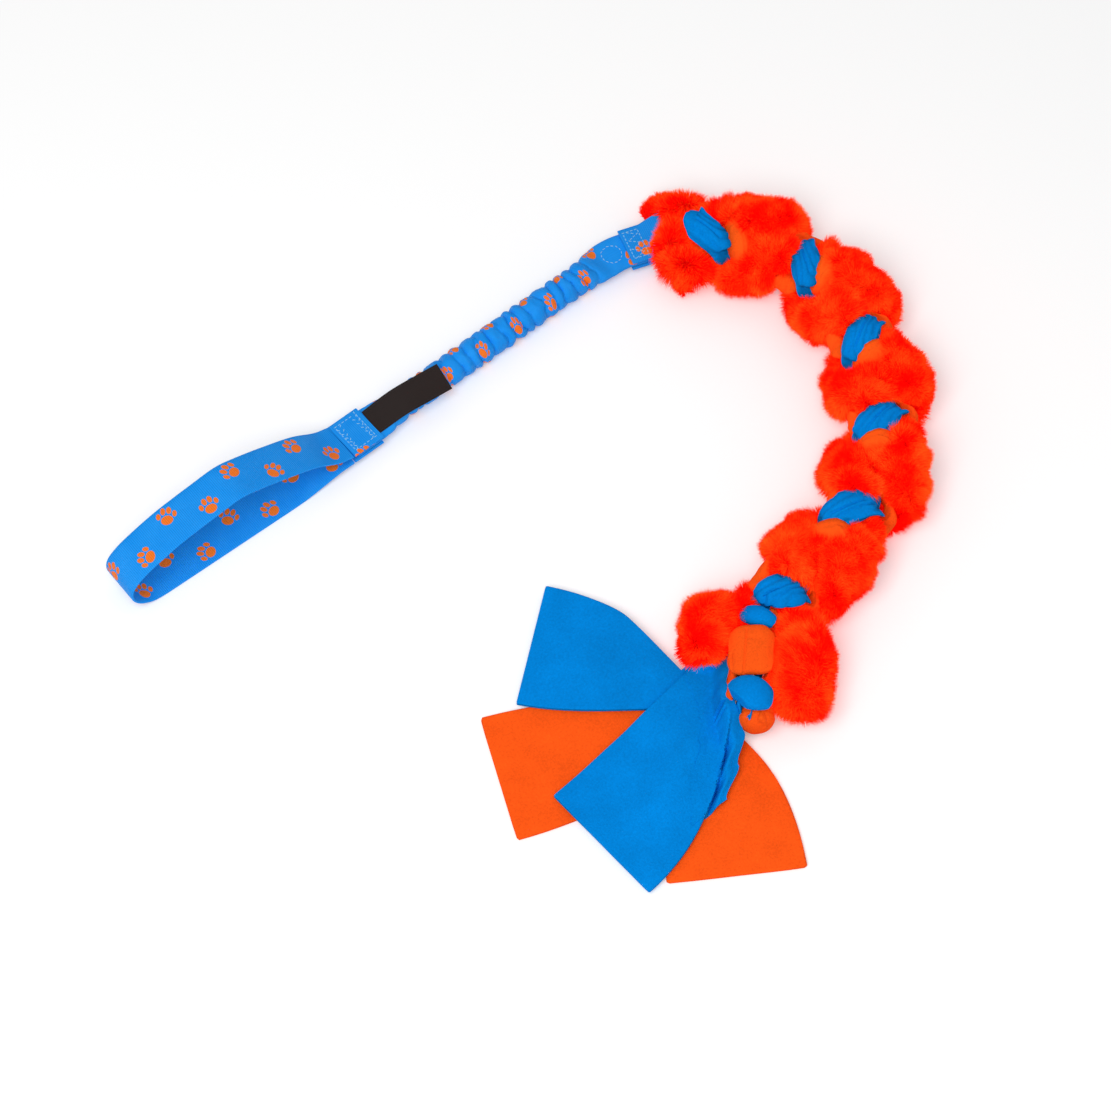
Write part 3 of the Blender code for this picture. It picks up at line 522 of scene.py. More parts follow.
class Graph:
    """Adds nodes to one tree and links them by name."""

    def __init__(self, tree):
        self.tree = tree

    def feed(self, socket, value):
        if isinstance(value, Term):
            self.tree.links.new(value.socket, socket)
        else:
            socket.default_value = value

    def node(self, kind, settings=None, **inputs):
        node = self.tree.nodes.new(kind)
        for key, value in (settings or {}).items():
            setattr(node, key, value)
        for key, value in inputs.items():
            self.feed(node.inputs[key.replace("_", " ")], value)
        return node

    def add(self, kind, output, settings=None, **inputs):
        """One output of a new node."""
        return Term(self, self.node(kind, settings, **inputs).outputs[output])

    def math(self, operation, *values, kind="ShaderNodeMath", output=0, **inputs):
        """A new math node's output, with the values in the order of its sockets."""
        node = self.node(kind, {"operation": operation}, **inputs)
        for socket, value in zip(node.inputs, values):
            self.feed(socket, value)
        return Term(self, node.outputs[output])

    def vectors(self, operation, *values, **options):
        return self.math(operation, *values, kind="ShaderNodeVectorMath", **options)

    def scale(self, vector, share):
        return self.vectors("SCALE", vector, Scale=share)

    def blend(self, factor, first, second):
        """Mix two colours."""
        node = self.node("ShaderNodeMix", {"data_type": "RGBA"}, Factor=factor)
        colour_inputs = [socket for socket in node.inputs if socket.type == "RGBA"]
        self.feed(colour_inputs[0], first)
        self.feed(colour_inputs[1], second)
        return Term(self, next(socket for socket in node.outputs if socket.type == "RGBA"))

    def noise(self, place, **inputs):
        return self.add("ShaderNodeTexNoise", "Fac", Vector=place, **inputs)

    def place(self):
        return self.add("ShaderNodeTexCoord", "Object")

    def attribute(self, name):
        return self.add("ShaderNodeAttribute", "Fac", {"attribute_name": name})

    def group(self, name, make, **inputs):
        """The outputs of a node group, which is made when it is first used."""
        tree = bpy.data.node_groups.get(name) or make(name)
        node = self.node("ShaderNodeGroup", {"node_tree": tree}, **inputs)
        return [Term(self, socket) for socket in node.outputs]


def new_group(name, inputs, outputs, tree_type="ShaderNodeTree"):
    """A node group with its sockets' labels and kinds: its graph, its inputs and its end."""
    tree = bpy.data.node_groups.new(name, tree_type)
    for way, sockets in (("INPUT", inputs), ("OUTPUT", outputs)):
        for label, kind in sockets:
            tree.interface.new_socket(label, in_out=way, socket_type="NodeSocket" + kind)
    graph = Graph(tree)
    start = graph.node("NodeGroupInput")
    given = [Term(graph, start.outputs[label]) for label, kind in inputs]
    return graph, given, graph.node("NodeGroupOutput")


def nap_group(name):
    """Fleece nap: soft flecks that raise the cloth and, as painted light and shade, lighten it where they stand
    high and darken it where they sink.
    """
    graph, (place, size, colour, shade), result = new_group(
        name, [("Vector", "Vector"), ("Fleck Size", "Float"), ("Colour", "Color"),
               ("Shade", "Float")], [("Colour", "Color"), ("Height", "Float")])
    scale = 1.0 / size
    flecks = graph.noise(place, Scale=scale, Detail=3.0, Roughness=0.65)
    broad = graph.noise(place, Scale=scale / broad_fleck_size, Detail=2.0)
    height = flecks + broad * broad_fleck_height
    # Painted light and shade: the colour follows the nap's height, lighter on its tops and darker in its hollows
    tone = (height - nap_level) * shade
    graph.feed(result.inputs["Colour"], graph.scale(colour, 1.0 + tone))
    graph.feed(result.inputs["Height"], height)
    return graph.tree


broad_fleck_size = 14.0
broad_fleck_height = 0.6
nap_level = 0.8
nap_bump_share = 0.35


def rib_group(name):
    """Webbing: ribs across the run, each broken up by its yarns."""
    graph, (along, across, pitch), result = new_group(
        name, [(label, "Float") for label in ("Along", "Across", "Pitch")], [("Height", "Float")])
    rib = graph.math("ABSOLUTE", graph.math("SINE", along / pitch * math.pi))
    yarn = graph.math("SINE", across / pitch * (math.tau * yarns_in_rib))
    graph.feed(result.inputs["Height"], rib + yarn * yarn_height)
    return graph.tree


yarns_in_rib = 1.5
yarn_height = 0.22


def paw_group(name):
    """Printed paws, one in each step along the cloth, set to one side and the other in turn."""
    graph, (along, across, pitch, size, sway), result = new_group(
        name, [(label, "Float") for label in ("Along", "Across", "Pitch", "Size", "Sway")],
        [("Mask", "Float")])
    steps = along / pitch
    number = graph.math("FLOOR", steps)
    along = (steps - number - 0.5) * pitch
    odd = graph.math("MODULO", number, 2.0) * 2.0 - 1.0
    across = across - odd * sway
    angle = graph.math("SINE", number * paw_turn_step) * paw_turn
    cosine = graph.math("COSINE", angle)
    sine = graph.math("SINE", angle)
    x = (along * cosine - across * sine) / size
    y = (along * sine + across * cosine) / size
    mask = None
    for pad_x, pad_y, radius_x, radius_y in paw_pads:
        dx = (x - pad_x) / radius_x
        dy = (y - pad_y) / radius_y
        inside = graph.math("LESS_THAN", dx * dx + dy * dy, 1.0)
        mask = inside if mask is None else graph.math("MAXIMUM", mask, inside)
    graph.feed(result.inputs["Mask"], mask)
    return graph.tree


# One paw: how far it turns, and its pads' centres and half sizes as shares of the print's size
paw_turn_step = 2.4
paw_turn = 0.9
paw_pads = (
    (0.00, -0.14, 0.27, 0.22), (-0.36, 0.10, 0.10, 0.15), (-0.13, 0.30, 0.11, 0.17),
    (0.13, 0.30, 0.11, 0.17), (0.36, 0.10, 0.10, 0.15),
)


def start_material(name, roughness, gloss):
    """A material to build on: gives it, its graph and its shader."""
    material = bpy.data.materials.new(name)
    material.use_nodes = True
    shader = material.node_tree.nodes["Principled BSDF"]
    shader.inputs["Roughness"].default_value = roughness
    shader.inputs["Specular IOR Level"].default_value = gloss
    return material, Graph(material.node_tree), shader


def dress(graph, shader, colour, height, depth):
    """Give the shader its colour and the relief of its cloth."""
    graph.feed(shader.inputs["Base Color"], colour)
    bump = graph.add("ShaderNodeBump", "Normal", Height=height, Strength=1.0, Distance=depth)
    graph.feed(shader.inputs["Normal"], bump)


def webbing_material(settings, name, sway, rib_depth, flat_share=1.0):
    """Printed cloth: ribs, paws, a slight unevenness of the dye and painted shade in the valleys between the ribs.
    """
    material, graph, shader = start_material(name, roughness=0.45, gloss=0.10)
    run = {"Along": graph.attribute("along"), "Across": graph.attribute("across")}
    mask, = graph.group("Paw prints", paw_group, Pitch=settings.print_pitch,
                        Size=settings.print_size, Sway=sway, **run)
    height, = graph.group("Webbing ribs", rib_group, Pitch=settings.rib_pitch * flat_share, **run)
    dye = graph.noise(graph.place(), Scale=90.0, Detail=3.0)
    pale = [min(channel * pale_gain + pale_lift, 1) for channel in settings.blue]
    ground = graph.blend(dye, (*settings.blue, 1), (*pale, 1))
    printed = graph.blend(mask, ground, (*settings.orange, 1))
    # Painted shade: the colour darkens in the valleys between the ribs
    shaded = graph.scale(printed, 1.0 - (1.0 - height) * valley_shade)
    dress(graph, shader, shaded, height, rib_depth)
    return material


pale_gain = 1.18
pale_lift = 0.02
valley_shade = 0.16


def fleece_material(settings, name, colour):
    material, graph, shader = start_material(name, roughness=0.95, gloss=0.04)
    toned, height = graph.group("Fleece nap", nap_group, Vector=graph.place(),
                                Fleck_Size=settings.nap_size, Colour=(*colour, 1), Shade=0.55)
    dress(graph, shader, toned, height, settings.nap_size * nap_bump_share)
    return material


def fur_material(settings):
    """Pile that goes from a deep root to a lighter tip, each tuft a little different; the lighter tips and the
    pile's glow are painted light that comes through the thin hair.
    """
    material, graph, shader = start_material("fur_pile", roughness=0.8, gloss=0.05)
    tip = graph.attribute("tip")
    patch = graph.noise(graph.place(), Scale=60.0, Detail=2.0)
    # Painted light: the tips are lightened towards the tip colour for light through them; the tone and the patch
    # are the pile's own
    share = graph.math("POWER", tip, fur_tip_power) * fur_tip_share
    share = share + (graph.attribute("tone") - 0.5) * fur_tone_share
    share = share + (patch - fur_patch_level) * fur_patch_share
    share = graph.add("ShaderNodeClamp", 0, Value=share)
    colour = graph.blend(share, (*settings.root_colour, 1), (*settings.tip_colour, 1))
    graph.feed(shader.inputs["Base Color"], colour)
    # Painted glow: the pile glows in its own colour, most at the tips, for the light that comes through the hair
    painted_glow_colour = graph.scale(colour, tip * fur_tip_painted_glow + fur_root_painted_glow)
    graph.feed(shader.inputs["Emission Color"], painted_glow_colour)
    shader.inputs["Emission Strength"].default_value = settings.painted_glow_strength
    return material


# Fur's colour: how far the place on a tuft (painted light at the tips), its own tone and its patch take it to the
# tip colour; then the painted glow at the tip and at the root
fur_tip_power = 2.0
fur_tip_share = 0.80
fur_tone_share = 0.6
fur_patch_level = 0.58
fur_patch_share = 2.6
fur_tip_painted_glow = 0.95
fur_root_painted_glow = 0.02


def plain_cloth_material(name, colour, roughness, scale, depth):
    """Thread or elastic: one colour broken up by its fine structure, with painted shade where that structure
    sinks.
    """
    material, graph, shader = start_material(name, roughness, gloss=0.15)
    grain = graph.noise(graph.place(), Scale=scale, Detail=2.0)
    # Painted shade: darker where the grain's relief is low
    darker = [channel * grain_shade for channel in colour]
    dress(graph, shader, graph.blend(grain, (*darker, 1), (*colour, 1)), grain, depth)
    return material


def label_material(settings):
    """Woven label: fine twill lines on a dark ground, painted lighter where they stand high and darker between
    them.
    """
    material, graph, shader = start_material("woven_label", roughness=0.7, gloss=0.15)
    along = graph.attribute("along")
    across = graph.attribute("across")
    height, = graph.group("Webbing ribs", rib_group, Along=along + across, Across=across,
                          Pitch=settings.rib_pitch * label_rib_share)
    # Painted light and shade: the twill is lighter on its raised lines and darker between them
    dress(graph, shader, graph.blend(height, label_twill_shade, label_twill_highlight), height, label_relief)
    return material


grain_shade = 0.7
label_rib_share = 0.55
label_twill_shade = (0.010, 0.006, 0.006, 1)
label_twill_highlight = (0.034, 0.024, 0.022, 1)
label_relief = 0.00012
elastic_white = (0.75, 0.75, 0.72)
label_thread_black = (0.035, 0.030, 0.030)
pale_thread_blue = (0.42, 0.78, 0.98)


# The bungee's line


def bungee_frame(station, height=0.0, side_offset=0.0):
    """Frame on the bungee's centre line: X to the side, Y up, Z along."""
    turn = min(max((station - bungee_length) / bend_radius, 0.0), tab_lay_angle)
    straight = min(station, bungee_length)
    past = max(station - tab_start, 0.0)
    along = Vector((math.cos(turn), -math.sin(turn), 0))
    side = Vector((math.sin(turn), math.cos(turn), 0))
    place = joint_centre + Vector((straight, 0, height))
    place += Vector((bend_radius * math.sin(turn), -bend_radius * (1 - math.cos(turn)), 0))
    place += along * past + side * side_offset
    return framed(place, side, up, along)


def oval(half_width, half_height, points):
    power = mix(flat_oval_share, 1.0, min(half_height / half_width, 1.0))
    ring = []
    for index in range(points):
        angle = math.tau * (index + 0.5) / points
        a = math.copysign(abs(math.cos(angle)) ** power, math.cos(angle))
        b = math.copysign(abs(math.sin(angle)) ** power, math.sin(angle))
        ring.append((half_width * a, half_height * b))
    return ring


def roundness(station):
    leaving = smooth(station, joint_length / 2, joint_length / 2 + sleeve_taper_at_handle)
    arriving = smooth(station, tab_start - sleeve_taper_at_tab, tab_start - tab_overlap)
    return leaving * (1 - arriving)


def sleeve_halves(station):
    share = roundness(station)
    return (mix(sleeve_flat_half_width, sleeve_radius, share),
            mix(sleeve_flat_half_height, sleeve_radius, share))


def drift(station, size, run, seed):
    return size * wobble(seed, station / run)


def round_noise(station, angle, size, run):
    """Noise that closes on itself round the sleeve."""
    return size * noise.noise(Vector((math.cos(angle), math.sin(angle), station / run)))


def gather_offset(station, angle, settings):
    """How far the gathered cloth stands out there: rounded crests and sharp valleys."""
    turns = station / settings.gather_pitch + drift(station, *gather_drift)
    turns += drift(station, *gather_slant) * math.sin(angle + drift(station, *gather_twist))
    turns += round_noise(station, angle, *gather_breaks)
    fold = abs(math.sin(math.pi * turns)) ** gather_crest_power
    uneven = gather_mean_rise + round_noise(station, angle, *gather_rises)
    wrinkle = wrinkle_height * noise.noise(
        Vector((station / wrinkle_run, angle * wrinkle_turns, wrinkle_seed)))
    return roundness(station) * settings.gather_depth * ((fold - gather_level) * uneven + wrinkle)


def label_place(station):
    """The label's roll there, and how far its middle stands from the bungee's centre line."""
    share = (station - joint_length / 2 - seat_gap) / label_length
    roll = mix(label_roll_at_joint, label_roll_at_end, min(max(share, 0.0), 1.0))
    width, height = sleeve_halves(station)
    crest = math.hypot(width * math.sin(roll), height * math.cos(roll))
    crest += gather_height * roundness(station) + seat_gap + label_thickness / 2
    return roll, crest, -label_margin <= share <= 1 + label_margin


def label_frame(station):
    """Middle of the label's cloth there, with the directions across it and over it."""
    roll, crest, _ = label_place(station)
    across = Vector((0, math.cos(roll), math.sin(roll)))
    over = Vector((0, -math.sin(roll), math.cos(roll)))
    return bungee_frame(station).translation + over * crest, across, over


def build_sleeve(settings):
    first = -joint_length / 2 + sleeve_inset
    last = tab_start + tab_overlap
    rings = []
    marks = []
    cloth_run = 0.0
    for station in even_steps(first, last, round((last - first) / sleeve_step)):
        place = bungee_frame(station)
        roll, crest, under_label = label_place(station)
        over = Vector((-math.sin(roll), math.cos(roll)))
        ring = []
        mark = []
        for number, (a, b) in enumerate(oval(*sleeve_halves(station), sleeve_points)):
            point = Vector((a, b))
            point += point.normalized() * gather_offset(station, math.atan2(b, a), settings)
            if under_label:
                point -= over * max(point.dot(over) - (crest - label_thickness), 0.0)
            world = place @ point.to_3d()
            world.z = max(world.z, floor_clearance)
            ring.append(world)
            # The print's place across goes over one face and back over the other
            turn = (number + 0.5) / sleeve_points
            mark.append((cloth_run, (abs(turn - 0.5) - 0.25) * webbing_width * 2))
        rings.append(ring)
        marks.append(mark)
        cloth_run += sleeve_step * mix(1.0, sleeve_take_up, roundness(station))
    mesh = loft(rings, marks, capped=False)
    bmesh.ops.solidify(mesh, geom=mesh.faces, thickness=sleeve_wall / 2)
    return mesh


def build_elastic():
    first = -joint_length / 2 + sleeve_inset + seat_gap
    last = tab_start + tab_overlap - seat_gap
    rings = []
    marks = []
    for station in even_steps(first, last, round((last - first) / elastic_step)):
        share = smooth(roundness(station), *elastic_round_shares)
        outline = oval(mix(elastic_flat_half_width, elastic_radius, share),
                       mix(elastic_flat_half_height, elastic_radius, share), elastic_points)
        place = bungee_frame(station)
        rings.append([place @ Vector((a, b, 0)) for a, b in outline])
        marks.append([(station, a) for a, b in outline])
    return loft(rings, marks)


# Webbing


def strip_outline(width, thickness):
    """Rounded outline of a strip."""
    deep = thickness / 2
    half = width / 2 - deep
    points = []
    for side in (1, -1):
        points += [(side * run, side * deep) for run in even_steps(-half, half, outline_columns)]
        for turn in outline_corners:
            points.append((side * (half + math.cos(turn) * deep), side * math.sin(turn) * deep))
    return points


def strip_mesh(frames, stations, width=webbing_width, thickness=webbing_thickness):
    """A strip of webbing through the frames, with its run and width marked for the print."""
    outline = strip_outline(width, thickness)
    rings = [[place @ Vector((a, b, 0)) for a, b in outline] for place in frames]
    marks = [[(station, a) for a, b in outline] for station in stations]
    return loft(rings, marks)


def loop_mesh():
    out = Vector((-math.cos(loop_lay_angle), math.sin(loop_lay_angle), 0))
    side = Vector((math.sin(loop_lay_angle), math.cos(loop_lay_angle), 0))
    start = Vector((joint_centre.x - joint_length / 2 - seat_gap, joint_centre.y, 0))
    half = webbing_thickness / 2
    rows = [(0.0, joint_centre.z + layer_offset)]
    for out_share, height_share in loop_profile_shares:
        rows.append((out_share * loop_reach, max(height_share * loop_height, half)))
    rows.append((0.0, joint_centre.z - layer_offset))
    path = spline([Vector((x, z, 0)) for x, z in rows], loop_curve_steps)
    frames = []
    stations = []
    samples = resample(path, strip_step)
    for index, (point, heading, station) in enumerate(samples):
        if index in (0, len(samples) - 1):
            heading = Vector((1 if index == 0 else -1, 0, 0))
        along = out * heading.x + up * heading.y
        place = start + out * point.x + up * max(point.y, half)
        frames.append(framed(place, side, along.cross(side), along))
        stations.append(station)
    return strip_mesh(frames, stations)


def end_mesh(direction):
    stations = even_steps(-joint_length / 2, joint_length / 2, end_steps)
    frames = [bungee_frame(station, direction * layer_offset) for station in stations]
    return strip_mesh(frames, [station - end_print_shift * direction for station in stations])


def eye_mesh():
    """One strip: flat over the sleeve's end, round the bight and back beneath."""
    along = eye_axis.cross(up)
    radius = eye_inner_radius + webbing_thickness / 2
    upper = [(station - eye_station, layer_offset)
             for station in even_steps(tab_start, tab_start + tab_overlap, tab_steps)]
    arc = [(radius * math.cos(angle), radius * math.sin(angle))
           for angle in even_steps(eye_opening_angle, -eye_opening_angle, eye_turns)]
    path = upper + arc + [(run, -height) for run, height in reversed(upper)]
    frames = []
    stations = [0.0]
    for index, (run, height) in enumerate(path):
        before = path[max(index - 1, 0)]
        after = path[min(index + 1, len(path) - 1)]
        heading = along * (after[0] - before[0]) + up * (after[1] - before[1])
        if index in (0, len(path) - 1):
            heading = along * (1 if index == 0 else -1)
        heading.normalize()
        place = eye_centre + along * run + up * height
        frames.append(framed(place, eye_axis, heading.cross(eye_axis), heading))
        if index:
            stations.append(stations[-1] + math.dist(path[index], path[index - 1]))
    return strip_mesh(frames, stations)


def label_stations(first_share, last_share, count):
    start = joint_length / 2 + seat_gap
    return [start + label_length * share for share in even_steps(first_share, last_share, count)]


def label_mesh():
    stations = label_stations(0, 1, round(label_length / label_step))
    frames = []
    for station in stations:
        middle, across, over = label_frame(station)
        frames.append(framed(middle, across, over, Vector((1, 0, 0))))
    return strip_mesh(frames, stations, label_width, label_thickness)


# Stitches


def add_stitch(mesh, start, end, over, radius):
    """One stitch: a short bar of thread with rounded ends."""
    along = (end - start).normalized()
    side = over.cross(along)
    place = framed((start + end) / 2, side, over, along)
    sizes = Matrix.Diagonal((radius, radius, (end - start).length / 2, 1))
    bmesh.ops.create_icosphere(mesh, subdivisions=1, radius=1, matrix=place @ sizes)


def stitch_path(mesh, points, over, settings):
    """Stitches at even steps along a line of points."""
    samples = resample(points, settings.stitch_length * stitch_pitch_share)
    for place, heading, _ in samples[:-1]:
        add_stitch(mesh, place, place + heading * settings.stitch_length, over,
                   settings.thread_radius)


def bungee_points(places, lift):
    """World points of (station, side) places on the bungee's flat parts, with corners kept."""
    points = []
    for (station, side), (next_station, next_side) in zip(places, places[1:]):
        for index in range(seam_steps):
            share = index / seam_steps
            spot = (mix(station, next_station, share), lift, mix(side, next_side, share))
            points.append(bungee_frame(*spot).translation)
    points.append(bungee_frame(places[-1][0], lift, places[-1][1]).translation)
    return points


def box_places(centre, half_run, half_side):
    corners = [(-1, -1), (1, -1), (1, 1), (-1, 1), (-1, -1)]
    return [(centre + run * half_run, side * half_side) for run, side in corners]


def zigzag_places(centre, half_run, half_side, turns):
    places = []
    for index in range(turns + 1):
        run = half_run if index % 2 else -half_run
        places.append((centre + run, mix(-half_side, half_side, index / turns)))
    return places


def seam_mesh(runs, direction, lift, settings):
    mesh = bmesh.new()
    for places in runs:
        stitch_path(mesh, bungee_points(places, direction * lift), up * direction, settings)
    return mesh


def label_thread_mesh(settings):
    """A row of stitches along each long edge of the label."""
    mesh = bmesh.new()
    for side in (-1, 1):
        line = []
        for station in label_stations(*label_seam_shares, label_seam_steps):
            middle, across, over = label_frame(station)
            line.append(middle + over * (label_thickness / 2)
                        + across * (side * (label_width / 2 - label_seam_inset)))
        stitch_path(mesh, line, over, settings)
    return mesh


# The braid's line


def braid_route():
    start = Vector((eye_centre.x + braid_start[0], eye_centre.y + braid_start[1], braid_height))
    points = [start]
    for x_share, y_share in route_shares:
        points.append(Vector((eye_centre.x + x_share * braid_length,
                              eye_centre.y + y_share * braid_length, braid_height)))
    return spline(points, route_steps)


class Spine:
    """The middle line of one strand: from any point, its station, centre and section."""

    def __init__(self, node):
        self.curve = braid_route()
        self.lengths = stations_of(self.curve)
        self.tree = kdtree.KDTree(len(self.curve))
        for index, point in enumerate(self.curve):
            self.tree.insert(point, index)
        self.tree.balance()
        gathered = {}
        for vertex in frame["nodes"][node].data.vertices:
            station, _, _ = self.section(vertex.co)
            gathered.setdefault(round(station / section_step), []).append(vertex.co)
        self.centres = {}
        for key, places in gathered.items():
            self.centres[key] = sum(places, Vector()) / len(places)

    def section(self, point):
        """Station of the nearest place on the route, with its right and its run."""
        flat = Vector((point.x, point.y, braid_height))
        _, index, _ = self.tree.find(flat)
        before = self.curve[max(index - 1, 0)]
        after = self.curve[min(index + 1, len(self.curve) - 1)]
        along = (after - before).normalized()
        return self.lengths[index] + (flat - self.curve[index]).dot(along), along.cross(up), along

    def route_point(self, station):
        return self.curve[min(bisect.bisect(self.lengths, station), len(self.curve) - 1)]

    def centre(self, station):
        place = station / section_step
        low = math.floor(place)
        first = self.nearest(low)
        second = self.nearest(low + 1)
        return first.lerp(second, place - low)

    def nearest(self, key):
        for gap in range(section_search):
            for candidate in (key - gap, key + gap):
                if candidate in self.centres:
                    return self.centres[candidate]
        raise ValueError("the strand has no sections")


def press_creases(mesh, spine, creases, depth, seed):
    """Fold lines along a strip: each one keeps its place round the strand, give or take."""
    for vertex in mesh.verts:
        station, right, _ = spine.section(vertex.co)
        local = vertex.co - spine.centre(station)
        angle = math.degrees(math.atan2(local.dot(right), local.dot(up)))
        press = 0.0
        for number, (place, width, share) in enumerate(creases):
            stray = wobble(seed + number * crease_seed_step, station / crease_stray_run)
            spot = place + crease_stray * stray
            press += share * math.exp(-((angle - spot) / width) ** 2)
        rough = wobble(seed + crease_rough_seed, station / crease_rough_run,
                       angle / crease_rough_turn)
        vertex.co -= vertex.normal * ((press + crease_rough * rough) * depth)
    mesh.normal_update()


# Creases: how far each strays round the strand and over which run, and the cloth's unevenness
crease_stray = 16
crease_stray_run = 0.016
crease_seed_step = 3.3
crease_rough = 0.25
crease_rough_run = 0.005
crease_rough_turn = 25
crease_rough_seed = 20


def laps_mesh():
    """Turns of the orange strip that show after the blue lumps and under the knot's end."""
    mesh = bmesh.new()
    for number, (x, y, z, turn, half_run, half_side, half_height) in enumerate(orange_laps):
        along, aside = plan_axes(turn)
        for vertex in bmesh.ops.create_icosphere(mesh, subdivisions=4, radius=1)["verts"]:
            unit = vertex.co.normalized()
            seam_place = unit.y + lap_seam_stray * wobble(number * lap_seam_seed, unit.x)
            seam = math.exp(-(seam_place / lap_seam_width) ** 2)
            swelling = 1 + lap_uneven * wobble(number * lap_seed, unit.x * lap_uneven_scale,
                                               unit.y * lap_uneven_scale)
            swelling -= lap_seam_depth * seam
            vertex.co = (Vector((x, y, z)) + (along * unit.x * half_run + aside * unit.y * half_side
                                              + up * unit.z * half_height) * swelling)
    mesh.normal_update()
    return mesh


# Orange laps: place, turn, half length, half width and half height
orange_laps = (
    (0.1759, 0.1196, 0.0290, -115, 0.0150, 0.0070, 0.0125),
    (0.1971, 0.0697, 0.0290, -152, 0.0135, 0.0078, 0.0125),
    (0.1789, 0.0113, 0.0290, -176, 0.0120, 0.0085, 0.0125),
    (0.1413, -0.0321, 0.0290, 157, 0.0115, 0.0080, 0.0125),
    (0.0824, -0.0590, 0.0290, 150, 0.0135, 0.0100, 0.0125),
    (-0.0170, -0.1100, 0.0185, -40, 0.0102, 0.0070, 0.0125),
)
lap_seam_width = 0.09
lap_seam_depth = 0.06
lap_seam_stray = 0.3
lap_seam_seed = 3.7
lap_uneven = 0.07
lap_uneven_scale = 1.5
lap_seed = 5.3


def press_seams(mesh, seams, depth):
    """Narrow seam lines across the top of a turn of the knot."""
    for first, last in seams:
        start = Vector((*first, 0))
        run = Vector((*last, 0)) - start
        for vertex in mesh.verts:
            out = Vector((vertex.co.x, vertex.co.y, 0)) - start
            share = min(max(out.dot(run) / run.length_squared, 0), 1)
            distance = (out - run * share).length
            if vertex.normal.z > seam_least_slope:
                vertex.co.z -= depth * math.exp(-(distance / seam_width) ** 2)
    mesh.normal_update()


# Seams on the knot's orange turn, each from place to place on the plan
block_seams = (
    ((0.0056, -0.0755), (-0.0177, -0.0984)),
    ((-0.0091, -0.0801), (-0.0165, -0.0894)),
    ((0.0020, -0.0795), (0.0073, -0.0863)),
)
seam_width = 0.0006
seam_depth = 0.0009
seam_least_slope = 0.1


def square_up(mesh, centre, turn, half_run, half_side):
    """Push a round turn out towards a squarish outline on the plan."""
    along, aside = plan_axes(turn)
    for vertex in mesh.verts:
        out = (vertex.co - Vector((*centre, 0))) * Vector((1, 1, 0))
        run = out.dot(along) / half_run
        side = out.dot(aside) / half_side
        reach = math.hypot(run, side)
        if reach > square_least_reach:
            square = (abs(run / reach) ** square_power
                      + abs(side / reach) ** square_power) ** (-1 / square_power)
            vertex.co += out * ((square - 1) * min(reach, 1.0))
    mesh.normal_update()


square_power = 3.4
square_least_reach = 0.01
block_turn = -132
block_half_run = 0.016
block_half_side = 0.0115


def swell(mesh, lumps):
    """Fill a strip out to the round lumps in which it shows between the puffs of fur."""
    for x, y, turn, half_run, half_side in lumps:
        centre = Vector((x, y, lump_top - lump_height))
        along, aside = plan_axes(turn)
        for vertex in mesh.verts:
            out = vertex.co - centre
            share = Vector((out.dot(along) / half_run, out.dot(aside) / half_side,
                            out.z / lump_height))
            if share.z > 0 and lump_least_share < share.length < 1:
                rise = smooth(share.z, 0, lump_shoulder)
                vertex.co = centre + out * mix(1, 1 / share.length, rise)
    mesh.normal_update()


# Lumps of the blue strip: place on the plan, turn, half length and half width
blue_lumps = (
    (0.1632, 0.1340, -82, 0.0205, 0.0105),
    (0.1918, 0.0794, -130, 0.0180, 0.0095),
    (0.1808, 0.0226, -155, 0.0182, 0.0108),
    (0.1495, -0.0236, -177, 0.0172, 0.0118),
    (0.1003, -0.0532, 170, 0.0185, 0.0116),
    (0.0358, -0.0690, -66, 0.0155, 0.0130),
)
lump_top = 0.0425
lump_height = 0.0120
lump_shoulder = 0.30
lump_least_share = 0.05

# Creases of each colour's strips: place round the strand and width in degrees, and share of depth
blue_creases = ((-62, 8, 0.9), (-24, 6, 1.0), (12, 7, 0.9), (52, 8, 0.9), (90, 10, 0.7))
orange_creases = ((-70, 6, 0.25), (-40, 5, 0.25), (-10, 5, 0.25), (20, 5, 0.25), (55, 6, 0.25))


# Fur


def tuft_mesh():
    """One tuft of pile, one unit long: a three-sided spike."""
    mesh = bmesh.new()
    bmesh.ops.create_cone(mesh, cap_ends=True, segments=3, radius1=0.5, radius2=0.0, depth=1.0)
    bmesh.ops.translate(mesh, verts=mesh.verts, vec=(0, 0, 0.5))
    tip = mesh.verts.layers.float.new("tip")
    for vertex in mesh.verts:
        vertex[tip] = vertex.co.z
    return mesh_data("tuft", mesh)


def random_value(graph, kind, low, high, seed):
    """A random number or vector for each point."""
    node = graph.node("FunctionNodeRandomValue", {"data_type": kind}, Seed=seed)
    wanted = "VECTOR" if kind == "FLOAT_VECTOR" else "VALUE"
    ends = [socket for socket in node.inputs if socket.type == wanted]
    graph.feed(ends[0], low)
    graph.feed(ends[1], high)
    return Term(graph, next(socket for socket in node.outputs if socket.type == wanted))


def stored(graph, geometry, name, value, kind="FLOAT"):
    return graph.add("GeometryNodeStoreNamedAttribute", "Geometry",
                     {"data_type": kind, "domain": "INSTANCE"},
                     Geometry=geometry, Name=name, Value=value)


def named(graph, name, kind="FLOAT"):
    return graph.add("GeometryNodeInputNamedAttribute", "Attribute", {"data_type": kind},
                     Name=name)


